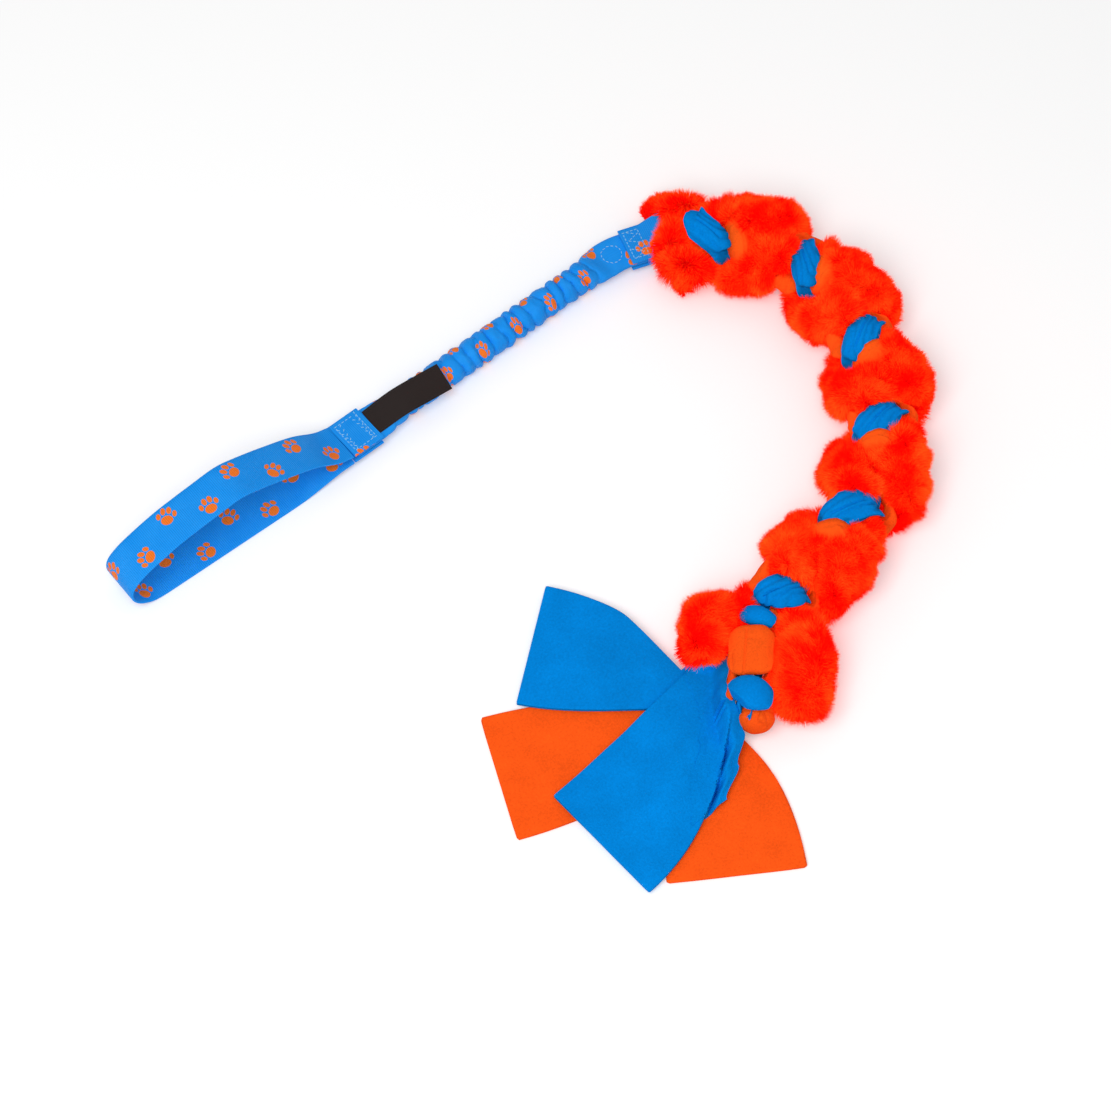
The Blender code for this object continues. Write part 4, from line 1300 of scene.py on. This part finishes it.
def standing_tufts(graph, geometry, density, tuft, settings, seed):
    """Tufts that stand on the backing where its hair attribute points."""
    points = graph.add("GeometryNodeDistributePointsOnFaces", "Points",
                       {"distribute_method": "RANDOM"}, Mesh=geometry,
                       Density=density * named(graph, "pile"), Seed=seed)
    hair = named(graph, "hair", "FLOAT_VECTOR")
    stray = random_value(graph, "FLOAT_VECTOR", (-tuft_stray,) * 3, (tuft_stray,) * 3, seed + 1)
    heading = graph.vectors("ADD", graph.vectors("NORMALIZE", hair), stray)
    spin = random_value(graph, "FLOAT", 0.0, math.tau, seed + 2)
    rotation = graph.add("FunctionNodeAlignRotationToVector", "Rotation", {"axis": "Z"},
                         Rotation=graph.add("ShaderNodeCombineXYZ", 0, Z=spin), Vector=heading)
    size = random_value(graph, "FLOAT", *tuft_sizes, seed + 3)
    tall = graph.vectors("LENGTH", hair, output="Value") * size
    scale = graph.add("ShaderNodeCombineXYZ", 0, X=settings.tuft_width, Y=settings.tuft_width,
                      Z=tall)
    source = graph.add("GeometryNodeObjectInfo", "Geometry", Object=tuft, As_Instance=True)
    made = graph.add("GeometryNodeInstanceOnPoints", "Instances", Points=points,
                     Instance=source, Rotation=rotation, Scale=scale)
    here = graph.add("GeometryNodeInputPosition", "Position")
    made = stored(graph, made, "tone", random_value(graph, "FLOAT", 0.0, 1.0, seed + 4))
    made = stored(graph, made, "root", here, "FLOAT_VECTOR")
    made = stored(graph, made, "tall", tall)
    return graph.add("GeometryNodeRealizeInstances", "Geometry", Geometry=made)


def tousled(graph, geometry, settings):
    """Draw the tips into locks, stray them softly and keep them over the floor."""
    root = named(graph, "root", "FLOAT_VECTOR")
    locks = graph.add("ShaderNodeTexVoronoi", "Position", Vector=root,
                      Scale=1 / settings.lock_size)
    gather = graph.scale(graph.vectors("SUBTRACT", locks, root), settings.tuft_gather)
    swirl = graph.add("ShaderNodeTexNoise", "Color", Vector=root, Scale=swirl_scale, Detail=1.0)
    centred = graph.vectors("SUBTRACT", swirl, (0.5, 0.5, 0.5))
    reach = named(graph, "tall") * (settings.tousle * swirl_gain)
    lean = graph.vectors("ADD", graph.scale(centred, reach), gather)
    moved = graph.add("GeometryNodeSetPosition", "Geometry", Geometry=geometry,
                      Offset=graph.scale(lean, named(graph, "tip")))
    place = graph.add("GeometryNodeInputPosition", "Position")
    x, y, z = graph.node("ShaderNodeSeparateXYZ", Vector=place).outputs
    held = graph.math("MAXIMUM", Term(graph, z), floor_clearance)
    on_floor = graph.add("ShaderNodeCombineXYZ", 0, X=Term(graph, x), Y=Term(graph, y), Z=held)
    return graph.add("GeometryNodeSetPosition", "Geometry", Geometry=moved, Position=on_floor)


def pile_nodes(tuft, settings, density, seed):
    """Geometry nodes for the whole pile."""
    sockets = [("Geometry", "Geometry")]
    graph, (given,), result = new_group("Pile", sockets, sockets, "GeometryNodeTree")
    made = standing_tufts(graph, given, density, tuft, settings, seed)
    graph.feed(result.inputs["Geometry"], tousled(graph, made, settings))
    return graph.tree


tuft_stray = 0.3
tuft_sizes = (0.72, 1.10)
swirl_scale = 90.0
swirl_gain = 4


def grow_pile(backing, tufts, settings, seed):
    """The pile of a backing mesh that carries hair and pile attributes, as real faces."""
    tuft = placed("tuft", tuft_mesh())
    pile = backing.attributes["pile"].data
    area = 0.0
    for face in backing.polygons:
        area += face.area * sum(pile[index].value for index in face.vertices) / len(face.vertices)
    tree = pile_nodes(tuft, settings, tufts / area, seed)
    made = evaluated_mesh(backing.copy(), "NODES", node_group=tree)
    bpy.data.objects.remove(tuft)
    for name in ("root", "tall"):
        made.attributes.remove(made.attributes[name])
    return made


class Neighbours:
    """The solids round a strip, to find where its pile has room to stand."""

    def __init__(self, nodes):
        shapes = bmesh.new()
        for node in nodes:
            shapes.from_mesh(frame["nodes"][node].data)
        self.tree = BVHTree.FromBMesh(shapes)
        shapes.free()

    def room(self, place, direction, reach):
        """How far a hair can go from the place before it meets a solid, up to reach."""
        _, _, _, distance = self.tree.ray_cast(place + direction * hair_start, direction, reach)
        return reach if distance is None else distance

    def openness(self, place, normal):
        """Share of the directions round the normal in which the surface sees out."""
        side = normal.orthogonal()
        other = normal.cross(side)
        seen = 0
        rays = [normal] + [normal + turn * open_tilt for turn in (side, -side, other, -other)]
        for ray in rays:
            if self.room(place, ray.normalized(), open_reach) == open_reach:
                seen += 1
        return seen / len(rays)


def hair_layers(mesh):
    """The hair's direction with its length, and the pile's share, at each vertex."""
    return mesh.verts.layers.float_vector.new("hair"), mesh.verts.layers.float.new("pile")


def fur_backing(node, settings):
    """The strip's backing, set in from its outside, and the hair that fills the way out."""
    spine = Spine(node)
    around = Neighbours(braid_nodes + ["eye_webbing"])
    fleece = Neighbours([name for name in braid_nodes if not name.startswith("fur")]
                        + ["eye_webbing"])
    mesh = soft_copy(node, levels=2)
    hair, pile = hair_layers(mesh)
    normals = [vertex.normal.copy() for vertex in mesh.verts]
    for vertex, normal in zip(mesh.verts, normals):
        station, _, _ = spine.section(vertex.co)
        outward = vertex.co - spine.centre(station)
        depth = min(settings.root_depth, outward.length * deepest_share)
        outward.normalize()
        stand = (outward + normal * stand_normal_share).normalized()
        knotted = smooth(station, knot_pile_start, knot_pile_full)
        high = knotted * smooth(vertex.co.z, knot_lean_low, knot_lean_high)
        inward = (spine.route_point(station) - vertex.co) * Vector((1, 1, 0))
        stand = (stand + inward.normalized() * (settings.knot_lean * high)).normalized()
        overhang = mix(settings.overhang, settings.knot_overhang, high)
        reach = fleece.room(vertex.co, stand, overhang)
        seen = around.openness(vertex.co, normal)
        under = smooth(-normal.z, *under_slopes)
        vertex[pile] = max(seen, hidden_pile) * mix(1.0, under_pile, under)
        vertex.co -= outward * depth
        vertex[hair] = stand * (depth + reach)
    mesh.normal_update()
    return mesh


hair_start = 0.0004
knot_pile_start = 0.315
knot_pile_full = 0.335
knot_lean_low = 0.026
knot_lean_high = 0.036
open_tilt = 0.9
open_reach = 0.010
deepest_share = 0.45
hidden_pile = 0.03
stand_normal_share = 1.2
under_slopes = (0.2, 0.9)
under_pile = 0.35


def bight_backing(node, settings):
    """The fur bight, with hair on the side that leaves the eye's strip."""
    mesh = soft_copy(node, levels=1)
    hair, pile = hair_layers(mesh)
    away = eye_axis.cross(up)
    for vertex in mesh.verts:
        from_eye = vertex.co - eye_centre
        beyond_end = smooth(from_eye.dot(away), *bight_end_gaps)
        beyond_side = smooth(abs(from_eye.dot(eye_axis)),
                             *[webbing_width / 2 + gap for gap in bight_side_gaps])
        clear = max(beyond_end, beyond_side)
        vertex[pile] = clear
        vertex[hair] = vertex.normal * (settings.bight_hair * max(clear, bight_least_hair))
    return mesh


bight_end_gaps = (0.0085, 0.0120)
bight_side_gaps = (0.001, 0.003)
bight_least_hair = 0.05


def puff_backing(settings):
    """Backing of the puffs in which the pile closes over the middle of the braid."""
    mesh = bmesh.new()
    hair, pile = hair_layers(mesh)
    shrink = settings.puff_hair * puff_inset
    for number, (x, y, z, turn, *outer_halves) in enumerate(fur_puffs):
        centre = Vector((x, y, z))
        along, aside = plan_axes(turn)
        halves = [half - shrink for half in outer_halves]
        for vertex in bmesh.ops.create_icosphere(mesh, subdivisions=4, radius=1)["verts"]:
            unit = vertex.co.normalized()
            uneven = 1 + puff_uneven * wobble(number * puff_seed, unit.x * puff_uneven_scale,
                                             unit.y * puff_uneven_scale)
            spread = [part * half * uneven for part, half in zip(unit, halves)]
            place = centre + along * spread[0] + aside * spread[1] + up * spread[2]
            facing = (along * (unit.x / halves[0]) + aside * (unit.y / halves[1])
                      + up * (unit.z / halves[2])).normalized()
            place.z = max(place.z, puff_floor_gap)
            vertex.co = place
            vertex[hair] = facing * settings.puff_hair
            vertex[pile] = smooth(unit.z, *puff_pile_slopes)
    mesh.normal_update()
    return mesh


# Puffs of fur: place, turn, and half length, half width and half height over the pile
fur_puffs = (
    (0.1535, 0.1505, 0.0130, -58, 0.0120, 0.0190, 0.0150),
    (0.1705, 0.1600, 0.0200, -35, 0.0180, 0.0100, 0.0150),
    (0.1455, 0.1290, 0.0180, -55, 0.0190, 0.0120, 0.0160),
    (0.1865, 0.1050, 0.0270, -62, 0.0135, 0.0200, 0.0170),
    (0.1900, 0.0470, 0.0270, -101, 0.0130, 0.0200, 0.0170),
    (0.1665, -0.0030, 0.0270, -124, 0.0125, 0.0220, 0.0170),
    (0.1260, -0.0405, 0.0270, -149, 0.0125, 0.0220, 0.0170),
    (0.0660, -0.0620, 0.0270, -166, 0.0170, 0.0220, 0.0170),
    (0.0082, -0.1098, 0.0210, -58, 0.0185, 0.0180, 0.0200),
    (0.0292, -0.0885, 0.0220, -58, 0.0145, 0.0130, 0.0190),
    (0.0120, -0.0600, 0.0240, -58, 0.0130, 0.0150, 0.0170),
)
puff_inset = 0.85
puff_uneven = 0.10
puff_uneven_scale = 2
puff_seed = 7.1
puff_floor_gap = floor_clearance * 2
puff_pile_slopes = (-0.6, 0.1)


# Operators, one for each piece or group of like pieces


class TUG_OT_webbing(bpy.types.Operator):
    """Build the hand loop, its two sewn ends and the eye round the braid's bight"""

    bl_idname = "tug.webbing"
    bl_label = "Webbing"

    def execute(self, context):
        settings = context.scene.tug_webbing
        material = webbing_material(settings, "printed_webbing", sway=0.0052, rib_depth=0.00022)
        loop = add_piece("hand_loop_webbing", loop_mesh(), material, None,
                         ["handle_loop"])
        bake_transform(loop)
        for name, direction in (("top", 1), ("bottom", -1)):
            add_piece("sewn_end_" + name, end_mesh(direction), material, "sewn_joint",
                      ["handle_end_" + name])
        add_piece("eye_strip", eye_mesh(), material, "bungee", ["eye_webbing"])
        return {"FINISHED"}


class TUG_OT_bungee(bpy.types.Operator):
    """Build the gathered sleeve and the elastic core inside it"""

    bl_idname = "tug.bungee"
    bl_label = "Bungee"

    def execute(self, context):
        settings = context.scene.tug_webbing
        material = webbing_material(settings, "printed_sleeve", sway=0.006, rib_depth=0.00008,
                                    flat_share=0.6)
        sleeve = add_piece("gathered_sleeve", build_sleeve(settings), material, None,
                           ["bungee_sleeve"], soft_edge)
        cord = plain_cloth_material("elastic_cord", elastic_white, roughness=0.6,
                                    scale=900.0, depth=0.0003)
        core = add_piece("elastic_cord", build_elastic(), cord, None, ["elastic_core"])
        still = bungee_frame(tab_start - sleeve_taper_at_tab).translation
        pulled = bungee_frame(joint_length / 2 + label_length).translation
        for piece in (sleeve, core):
            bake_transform(piece)
        return {"FINISHED"}


class TUG_OT_label(bpy.types.Operator):
    """Build the woven label and the thread round its edge"""

    bl_idname = "tug.label"
    bl_label = "Label"

    def execute(self, context):
        settings = context.scene.tug_webbing
        add_piece("woven_label", label_mesh(), label_material(settings), "sewn_joint",
                  ["label"])
        thread = plain_cloth_material("label_thread", label_thread_black, roughness=0.6,
                                      scale=2500.0, depth=0.0001)
        add_piece("label_edge_thread", label_thread_mesh(settings), thread, "sewn_joint",
                  ["label_stitching"])
        return {"FINISHED"}


class TUG_OT_stitching(bpy.types.Operator):
    """Sew the handle joint, the tab and the sleeve's flat end"""

    bl_idname = "tug.stitching"
    bl_label = "Stitching"

    def execute(self, context):
        settings = context.scene.tug_webbing
        thread = plain_cloth_material("pale_thread", pale_thread_blue, roughness=0.5,
                                      scale=2500.0, depth=0.0001)
        lift = layer_offset + webbing_thickness / 2
        half_side = webbing_width / 2 - seam_inset
        joint_runs = [box_places(0.0, joint_box_half_run, half_side)]
        for place in (joint_zigzag_place, -joint_zigzag_place):
            joint_runs.append(zigzag_places(place, joint_zigzag_half_run, half_side,
                                            joint_zigzag_turns))
        tab_centre = tab_start + tab_overlap / 2
        tab_runs = [box_places(tab_centre, tab_box_half_run, half_side),
                    zigzag_places(tab_centre, tab_zigzag_half_run, half_side, tab_zigzag_turns)]
        ring_radius = sleeve_flat_half_width / 2
        ring_centre = tab_start - ring_radius - ring_gap
        ring = [(ring_centre + ring_radius * math.cos(angle), ring_radius * math.sin(angle))
                for angle in even_steps(0, math.tau, ring_steps)]
        ring_lift = sleeve_flat_half_height + settings.thread_radius
        seams = (("joint_stitches_", joint_runs, lift, "sewn_joint", "handle_joint_stitching_"),
                 ("tab_stitches_", tab_runs, lift, "bungee", "eye_stitching_"),
                 ("sleeve_end_stitches_", [ring], ring_lift, "bungee", "sleeve_end_stitching_"))
        for name, direction in (("top", 1), ("bottom", -1)):
            for piece, runs, height, body, node in seams:
                add_piece(piece + name, seam_mesh(runs, direction, height, settings), thread,
                          body, [node + name])
        return {"FINISHED"}


class TUG_OT_fleece_strands(bpy.types.Operator):
    """Build the folded fleece strips of the braid, their bights and the knot's turns"""

    bl_idname = "tug.fleece_strands"
    bl_label = "Fleece strands"

    def execute(self, context):
        settings = context.scene.tug_fleece
        materials = {"blue": fleece_material(settings, "blue_fleece_nap", settings.blue),
                     "orange": fleece_material(settings, "orange_fleece_nap", settings.orange)}

        def add_folded(node, mesh, colour):
            add_piece(node + "_folded", mesh, materials[colour], "braid",
                      [node], soft_edge)

        for colour, creases in (("blue", blue_creases), ("orange", orange_creases)):
            for number, half in enumerate("ab"):
                node = colour + "_strand_" + half
                mesh = soft_copy(node, levels=3 if colour == "blue" else 2)
                if colour == "blue":
                    swell(mesh, blue_lumps)
                press_creases(mesh, Spine(node), creases, settings.crease_depth,
                              number * strand_seed_step)
                add_folded(node, mesh, colour)
            add_folded(colour + "_bight", soft_copy(colour + "_bight", levels=1), colour)
        for node in ("knot_blue_band", "knot_orange_band", "knot_blue_end"):
            colour = node.split("_")[1]
            mesh = soft_copy(node, levels=3)
            if colour == "orange":
                middle = sum((vertex.co for vertex in mesh.verts), Vector()) / len(mesh.verts)
                square_up(mesh, middle.xy, block_turn, block_half_run, block_half_side)
                press_seams(mesh, block_seams, seam_depth)
            add_folded(node, mesh, colour)
        add_piece("orange_laps", laps_mesh(), materials["orange"], "braid")
        return {"FINISHED"}


strand_seed_step = 11.0


class TUG_OT_fur(bpy.types.Operator):
    """Grow the pile of the faux-fur strips, of their bight and of the puffs"""

    bl_idname = "tug.fur"
    bl_label = "Fur"

    def execute(self, context):
        settings = context.scene.tug_fur
        material = fur_material(settings)
        tufts = settings.tufts

        def add_fur(name, mesh, replaced, seeds, share=1):
            backing = add_piece(name + "_backing", mesh, material, "braid",
                                replaced, soft_edge)
            for layer, seed in enumerate(seeds):
                made = grow_pile(backing.data, tufts // share, settings, seed)
                end = f"_pile_{layer + 1}" if share == 1 else "_pile"
                show_piece(name + end, made, material, "braid")

        for node, seeds in strip_seeds.items():
            add_fur(node, fur_backing(node, settings), [node], seeds)
        add_fur("fur_bight", bight_backing("fur_bight", settings), ["fur_bight"], bight_seeds,
                bight_share)
        add_fur("fur_puffs", puff_backing(settings), (), puff_seeds)
        return {"FINISHED"}


# One seed for each layer of pile
strip_seeds = {"fur_strip_a": (1, 11, 21), "fur_strip_b": (101, 111, 121)}
bight_seeds = (901,)
bight_share = 6
puff_seeds = (1000,)


class TUG_OT_tails(bpy.types.Operator):
    """Lay out the four loose fleece tails"""

    bl_idname = "tug.tails"
    bl_label = "Tails"

    def execute(self, context):
        settings = context.scene.tug_fleece
        materials = {"blue": bpy.data.materials["blue_fleece_nap"],
                     "orange": bpy.data.materials["orange_fleece_nap"]}
        for node, (held_by, body, under) in tail_places.items():
            colour = node.split("_")[0]
            cloth = add_piece(node + "_cloth", tail_mesh(node, settings), materials[colour], None,
                              [node])
            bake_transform(cloth)
        roots = add_piece("gathered_roots", roots_mesh(), materials["blue"], None)
        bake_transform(roots)
        return {"FINISHED"}


def fall_on(shape, x, y):
    """Height of the topmost surface of a shape at a place on the plan."""
    place, _, _, _ = shape.tree.ray_cast(Vector((x, y, fall_height)), -up)
    return place.z if place else tail_root_floor


def roots_mesh():
    """Gathered cloth from the knot's last turn down to the ridge along the front tail."""
    hinge = Vector(joint_named("front_tail_hinge")["pos_m"])
    knot = Neighbours(braid_nodes)
    tails = Neighbours(tail_places)
    rings = []
    marks = []
    for index in range(roots_rows + 1):
        share = index / roots_rows
        y = hinge.y + mix(*roots_run, share)
        crest = sample_steps(roots_crests, share)
        start = Vector((hinge.x + roots_gap, y, crest))
        _, _, _, room = knot.tree.ray_cast(start, Vector((1, 0, 0)), roots_reach)
        reach = min((room or roots_reach) - roots_gap, sample_steps(roots_rights, share))
        right = hinge.x + roots_gap + reach
        left = hinge.x - sample_steps(roots_laps, share)
        amount = roots_fold * sample_steps(roots_ridge, share)
        upper = []
        for number in range(roots_columns + 1):
            run = number / roots_columns
            x = mix(left, right, run)
            level = fall_on(tails, min(x, hinge.x - roots_gap), y) + roots_lift
            ridge = math.exp(-((run - ridge_place) / ridge_width) ** 2)
            valley = valley_depth * math.exp(-((run - valley_place) / valley_width) ** 2)
            uneven = roots_uneven * wobble(roots_seed, x / roots_uneven_run,
                                           y / roots_uneven_length)
            fold = amount * (ridge - valley + uneven)
            ground = mix(level, crest, smooth(run, roots_rise, 1.0))
            upper.append((x, max(ground + fold * math.sin(math.pi * run) ** 0.5, level)))
        thickness = [mix(roots_edge, roots_thickness, math.sin(turn))
                     for turn in even_steps(0, math.pi, roots_columns)]
        lower = [(x, height - deep) for (x, height), deep in zip(upper, thickness)]
        outline = upper + lower[::-1]
        rings.append([Vector((x, y, height)) for x, height in outline])
        marks.append([(y, x) for x, height in outline])
    return loft(rings, marks)


def sample_steps(steps, share):
    """Value at a share of the way through evenly spaced steps."""
    place = share * (len(steps) - 1)
    low = min(int(place), len(steps) - 2)
    return mix(steps[low], steps[low + 1], smooth(place - low, 0, 1))


# Gathered roots: their run along the hinge, then by steps from the back to the front the height
# of their edge at the knot, how far it goes past the hinge, their lap over the tail and the ridge
roots_run = (0.0445, -0.0270)
roots_crests = (0.0140, 0.0165, 0.0210, 0.0270, 0.0290, 0.0150, 0.0090, 0.0070)
roots_rights = (0.0260, 0.0260, 0.0220, 0.0100, 0.0000, -0.0022, -0.0152, -0.0324)
roots_laps = (0.0010, 0.0040, 0.0080, 0.0140, 0.0240, 0.0360, 0.0480, 0.0560)
roots_ridge = (0.0, 0.1, 0.3, 0.6, 0.9, 1.0, 0.9, 0.5)
roots_rows = 60
roots_columns = 40
roots_rise = 0.35
roots_gap = 0.0005
roots_reach = 0.026
roots_fold = 0.0060
roots_lift = 0.0004
roots_edge = 0.0003
roots_thickness = 0.0014
ridge_place = 0.76
ridge_width = 0.15
valley_place = 0.46
valley_width = 0.10
valley_depth = 0.35
roots_uneven = 0.12
roots_uneven_run = 0.007
roots_uneven_length = 0.012
roots_seed = 3.1
tail_root_floor = 0.0092
fall_height = braid_height * 3


# For each tail: the body that it bends from, its own body and the pieces that it lies on
tail_places = {
    "orange_tail_right": ("braid", "right_tail", []),
    "orange_tail_left": ("right_tail", "left_tail", []),
    "blue_tail_left": ("left_tail", "blue_left_tail", ["orange_tail_left"]),
    "blue_tail_front": ("blue_left_tail", "front_tail",
                        ["blue_tail_left", "orange_tail_left", "orange_tail_right"]),
}


def tail_mesh(node, settings):
    """A tail's sheet with crisp cut edges and soft waves."""
    mesh = welded_copy(node)
    crease = mesh.edges.layers.float.new("crease_edge")
    for edge in mesh.edges:
        if len(edge.link_faces) == 2 and edge.calc_face_angle() > cut_edge_angle:
            edge[crease] = cut_edge_crease
    mesh = working_mesh(subdivided(mesh_data(node + "_shape", mesh), levels=3))
    for vertex in mesh.verts:
        wave = settings.wave_height * wobble(wave_seed, vertex.co.x / wave_run,
                                             vertex.co.y / wave_run)
        vertex.co.z = max(vertex.co.z + wave, tail_floor_gap)
    mesh.normal_update()
    return mesh


cut_edge_angle = math.radians(50)
cut_edge_crease = 0.8
wave_run = 0.02
wave_seed = 5.5
tail_floor_gap = floor_clearance / 3


class TUG_OT_stage(bpy.types.Operator):
    """Set the floor, the light and the camera"""

    bl_idname = "tug.stage"
    bl_label = "Stage"

    def execute(self, context):
        settings = context.scene.tug_stage
        build_floor()
        build_light(settings)
        build_camera(settings)
        return {"FINISHED"}


def build_floor():
    mesh = bmesh.new()
    bmesh.ops.create_grid(mesh, x_segments=1, y_segments=1, size=3.0)
    data = mesh_data("floor", mesh)
    material, graph, shader = start_material("white_floor", roughness=0.9, gloss=0.0)
    shader.inputs["Base Color"].default_value = floor_white
    path = graph.node("ShaderNodeLightPath")
    rays = [Term(graph, path.outputs[name]) for name in ("Is Camera Ray", "Is Glossy Ray")]
    shader.inputs["Emission Color"].default_value = (1, 1, 1, 1)
    graph.feed(shader.inputs["Emission Strength"], graph.math("MAXIMUM", *rays) * floor_glow)
    data.materials.append(material)
    floor = placed("floor", data)


floor_white = (0.92, 0.92, 0.92, 1)
floor_glow = 0.16


def aim(thing, towards):
    """Turn a lamp or a camera so that it looks that way."""
    thing.rotation_mode = "QUATERNION"
    thing.rotation_quaternion = towards.to_track_quat("-Z", "Y")


def build_light(settings):
    world = bpy.context.scene.world or bpy.data.worlds.new("World")
    bpy.context.scene.world = world
    world.use_nodes = True
    background = world.node_tree.nodes["Background"]
    background.inputs["Color"].default_value = (1, 1, 1, 1)
    background.inputs["Strength"].default_value = settings.world_strength
    lamp = bpy.data.lights.new("key", "AREA")
    lamp.energy = settings.key_power
    lamp.size = key_size
    key = placed("key", lamp)
    key.location = key_place
    aim(key, -key.location)


key_size = 1.2
key_place = (-0.9, -0.5, 1.7)


def build_camera(settings):
    data = bpy.data.cameras.new("camera")
    data.lens = settings.focal_length
    data.sensor_width = sensor_width
    camera = placed("camera", data)
    back = Vector((math.sin(settings.azimuth) * math.cos(settings.elevation),
                   -math.cos(settings.azimuth) * math.cos(settings.elevation),
                   math.sin(settings.elevation)))
    target = Vector((joint_centre.x + target_offset[0], joint_centre.y + target_offset[1], 0))
    camera.location = target + back * settings.distance
    aim(camera, -back)
    bpy.context.scene.camera = camera
    bpy.context.scene.view_settings.view_transform = "Standard"


sensor_width = 36.0
target_offset = (0.038, -0.127)


class TUG_PT_panel(bpy.types.Panel):
    """Lists the toy's pieces in the sidebar"""

    bl_idname = "TUG_PT_panel"
    bl_label = "Tug Toy"
    bl_space_type = "VIEW_3D"
    bl_region_type = "UI"
    bl_category = "Tug Toy"

    def draw(self, context):
        for holder in ("tug_webbing", "tug_fleece", "tug_fur", "tug_stage"):
            settings = getattr(context.scene, holder)
            for key in settings.bl_rna.properties.keys():
                if key not in ("rna_type", "name"):
                    self.layout.prop(settings, key)
        for operator in operators:
            self.layout.operator(operator.bl_idname)


settings_classes = {"tug_webbing": TugWebbingSettings, "tug_fleece": TugFleeceSettings,
                    "tug_fur": TugFurSettings, "tug_stage": TugStageSettings}
operators = (TUG_OT_webbing, TUG_OT_bungee, TUG_OT_label, TUG_OT_stitching,
             TUG_OT_fleece_strands, TUG_OT_fur, TUG_OT_tails, TUG_OT_stage)


def register():
    for name, settings in settings_classes.items():
        bpy.utils.register_class(settings)
        setattr(bpy.types.Scene, name, PointerProperty(type=settings))
    for operator in operators:
        bpy.utils.register_class(operator)
    bpy.utils.register_class(TUG_PT_panel)


def unregister():
    bpy.utils.unregister_class(TUG_PT_panel)
    for operator in reversed(operators):
        bpy.utils.unregister_class(operator)
    for name, settings in settings_classes.items():
        delattr(bpy.types.Scene, name)
        bpy.utils.unregister_class(settings)


def main():
    register()
    bpy.ops.tug.webbing()
    bpy.ops.tug.bungee()
    bpy.ops.tug.label()
    bpy.ops.tug.stitching()
    bpy.ops.tug.fleece_strands()
    bpy.ops.tug.fur()
    bpy.ops.tug.tails()
    bpy.ops.tug.stage()


if __name__ == "__main__":
    main()
